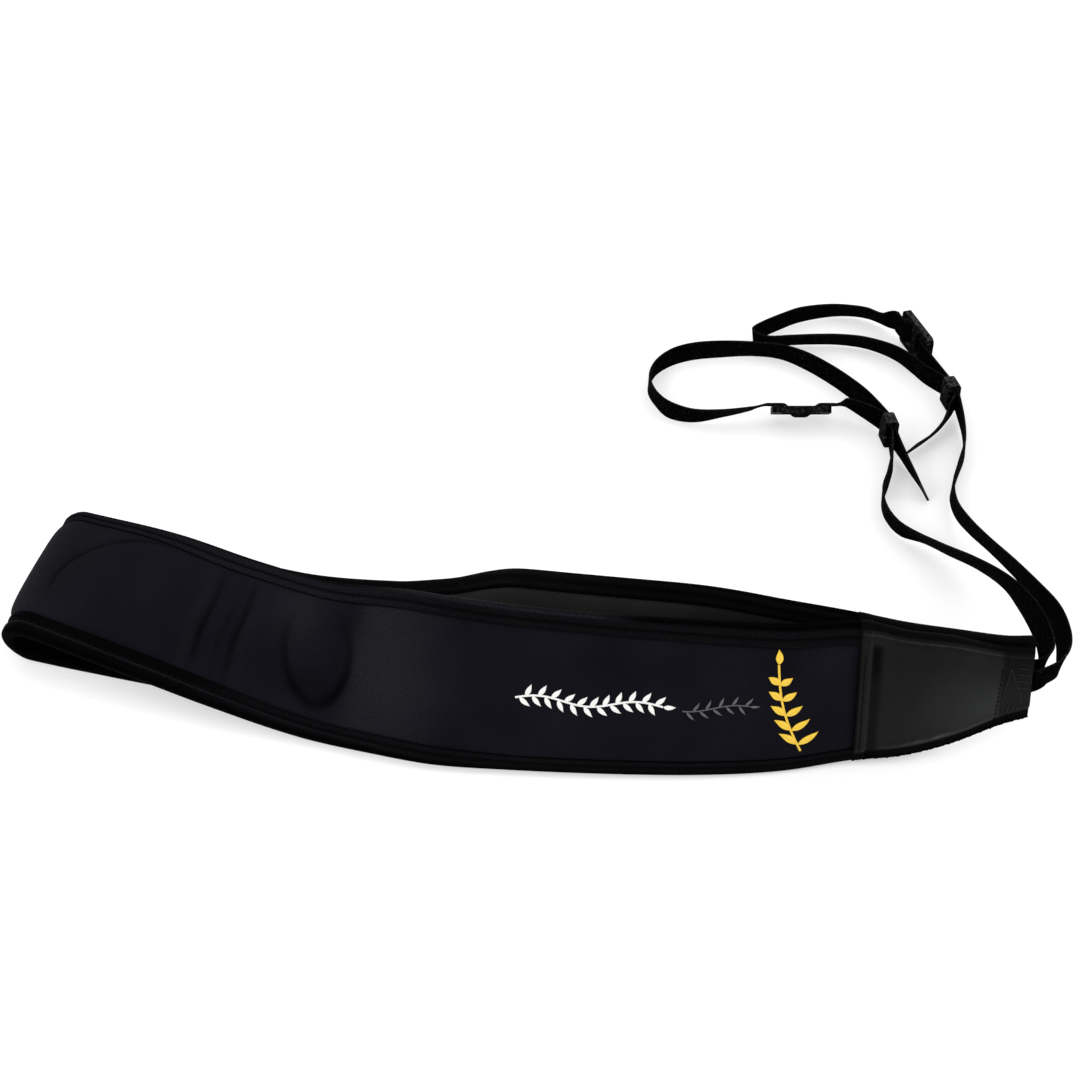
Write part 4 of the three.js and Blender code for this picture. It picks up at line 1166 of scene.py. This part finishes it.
def straight_through(place, reach, offset, way):
    """Rows that carry the strap straight through a piece; way is 1, or -1 to come back through it."""
    centre, along, out = piece_frame(place)
    steps = way * np.array([-1, -NEAR_END, 0, NEAR_END, 1])[:, None]
    points = centre + along * steps * reach + out * offset
    return np.column_stack([points, np.full(5, way * place[4])])


def web_rows(plan, tip, inwards):
    """The tucked rows in the pocket, then each stretch of the plan in order."""
    s = tip + inwards * np.array([WEB_TUCK, WEB_TUCK / 2, 0])
    inside = on_band(s, width_at(s) / 2, np.full(3, LEATHER_THICK + GAP + WEB_THICK / 2)) / MM + MIDDLE
    lean = 90 - np.degrees(np.arcsin(across_at(s)[:, 2]))
    side = plan["main_side"] * LAYER_PITCH / 2
    stretches = [
        np.column_stack([inside, lean]), plan["to_keeper"],
        straight_through(plan["keeper"], KEEPER_REACH, side, 1), plan["loop"],
        straight_through(plan["buckle"], BUCKLE_REACH, 0, 1), plan["loop_end"],
        straight_through(plan["keeper"], KEEPER_REACH, -side, -1), plan["tail"],
    ]
    rows = np.vstack([np.array(part, float) for part in stretches if len(part)])
    return rows, sum(len(part) for part in stretches[:4]) + 2


def over_bar(x):
    """How far the strap stands off its line at x from the buckle's bar: flat on top, S-shaped down."""
    flat = BUCKLE_BAR / 2 + 0.2
    foot = flat + BUCKLE_SLOT - 0.6
    return BUCKLE_RISE * ease(0, 1, (foot - np.abs(x)) / (foot - flat))


# %% Make the webbing
def web_section():
    """One ring of the tape's cross section, as shares of its width and thickness: two nearly flat
    faces that swell a little at the selvedges, which are round."""
    x = np.linspace(-0.93, 0.93, 9)
    face = 0.86 + 0.14 * ease(0.72, 0.9, np.abs(x)) - 0.1 * ease(0.9, 0.94, np.abs(x))
    edge = np.radians([50, 0, -50])
    across = np.concatenate([x, 0.955 + 0.045 * np.cos(edge), x[::-1], -0.955 - 0.045 * np.cos(edge)])
    out = np.concatenate([face, 0.75 * np.sin(edge), -face, -0.75 * np.sin(edge)])
    return across, out


def make_web(name, plan, tip, inwards, replaced):
    """The section carried along the rows, lifted over the buckle's bar and turned with the slope.
    The wear mark is on the sealed end and along the selvedges."""
    rows, bar_row = web_rows(plan, tip, inwards)
    points, leans = rows[:, :3], rows[:, 3]
    knots = knots_of(points)
    s = np.linspace(0, knots[-1], WEB_STEPS)
    middle = smooth(knots, points, s)
    along = unit(smooth(knots, points, s + WEB_PROBE) - smooth(knots, points, s - WEB_PROBE))
    left = unit(np.cross((0, 0, 1), along))
    lean = np.radians(smooth(knots, leans, s))[:, None]
    across = np.cross(along, left) * np.cos(lean) + left * np.sin(lean)
    out = np.cross(along, across)
    centre, through, off_bar = piece_frame(plan["buckle"])
    near_bar = np.abs(s - knots[bar_row]) < BUCKLE_LENGTH / 2
    x = np.where(near_bar, (middle - centre) @ through, BUCKLE_LENGTH)
    slope = ((over_bar(x + WEB_PROBE) - over_bar(x - WEB_PROBE)) / (2 * WEB_PROBE))[:, None]
    face = unit(out - through * plan["buckle_side"] * slope)
    middle = middle + off_bar * plan["buckle_side"] * over_bar(x)[:, None]
    share_w, share_t = web_section()
    half_w, half_t = share_w * WEB_WIDTH / 2, share_t * WEB_THICK / 2
    rings = middle[:, None] + across[:, None] * half_w[:, None] + face[:, None] * half_t[:, None]
    length = knots_of(middle)
    sealed = ease(length[-1] - 2.2, length[-1] - 0.8, length)[:, None]
    rubbed_and_lit = np.maximum(0.7 * sealed, 0.2 * ease(0.93, 0.98, np.abs(share_w)))
    uv = cloth_uv(length[:, None], half_w)
    piece = ring_body(name, (rings - MIDDLE) * MM, uv, wear=rubbed_and_lit, hollow=0.0)
    finish(piece, web_cloth, "webbing", replaced)
    print(f"{name}: {length[-1]:.0f} mm of webbing")


make_web("outer_web", OUTER_WEB, 0.0, 1, "webbing_outer")
make_web("inner_web", INNER_WEB, LENGTH, -1, "webbing_inner")

# %% [markdown]
# ## Keepers and buckles
# The loops and three-bar buckles are moulded plastic with eased edges. Their solids already have the
# right shape, so each is a copy of its solid with the loose triangles merged, the flat faces joined
# again, and a Bevel modifier that rounds the corners as a mould does. The plastic hardly reflects:
# glints are painted on it as small pale specks, and a painted highlight lies in patches on the faces
# that look up.

# %% Moulded plastic
plastic, tree, shader = new_finish("moulded_plastic", Specular_IOR_Level=0.002)
where = node(tree, "ShaderNodeTexCoord").outputs["Object"]
# Here the pale lint flecks stand for painted glints.
tint = dye_and_lint(tree, where, (0.0004, 0.0005, 0.0004), (0.0016, 0.0019, 0.0016), 300.0, 0.8)
speck_noise = noise(tree, where, 800.0, 2.0)
# Painted glints: pale specks where the noise is high.
with_painted_glints = mix(tree, ramp(tree, speck_noise, 0.6, 0.7, 0.0, 0.7), tint["Color"], (0.05, 0.055, 0.05))
facing = node(tree, "ShaderNodeNewGeometry").outputs["Normal"]
upward = node(tree, "ShaderNodeSeparateXYZ", {0: facing}).outputs["Z"]
patches = ramp(tree, speck_noise, 0.42, 0.62, 0.12, 0.8)
# A painted highlight on the faces that look up, as if lit from above.
painted_top_light = multiply(tree, ramp(tree, upward, 0.6, 0.9), patches)
wire(shader, {
    "Base Color": mix(tree, painted_top_light, with_painted_glints, (0.045, 0.046, 0.043)),
    "Roughness": ramp(tree, noise(tree, where, 160.0, 2.0), 0.3, 0.7, 0.3, 0.55),
    "Normal": bump(tree, noise(tree, where, 1800.0, 3.0), 0.35, 0.0001),
})


def moulded(name, solid, round_by):
    """A merged copy of a solid with rounded edges."""
    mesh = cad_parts[solid].data.copy()
    mesh.name = name
    work = bmesh.new()
    work.from_mesh(mesh)
    bmesh.ops.remove_doubles(work, verts=work.verts, dist=1e-6)
    bmesh.ops.dissolve_limit(work, angle_limit=0.02, verts=work.verts, edges=work.edges)
    work.to_mesh(mesh)
    work.free()
    piece = add_object(name, mesh)
    edges = piece.modifiers.new("eased edges", "BEVEL")
    edges.width, edges.segments, edges.limit_method = round_by, 3, "ANGLE"
    edges.angle_limit = math.radians(40)
    finish(piece, plastic, "plastic", solid)


for end in ("outer", "inner"):
    moulded(f"{end}_keeper", f"keeper_{end}", 0.3 * MM)
    moulded(f"{end}_buckle", f"buckle_{end}", 0.6 * MM)
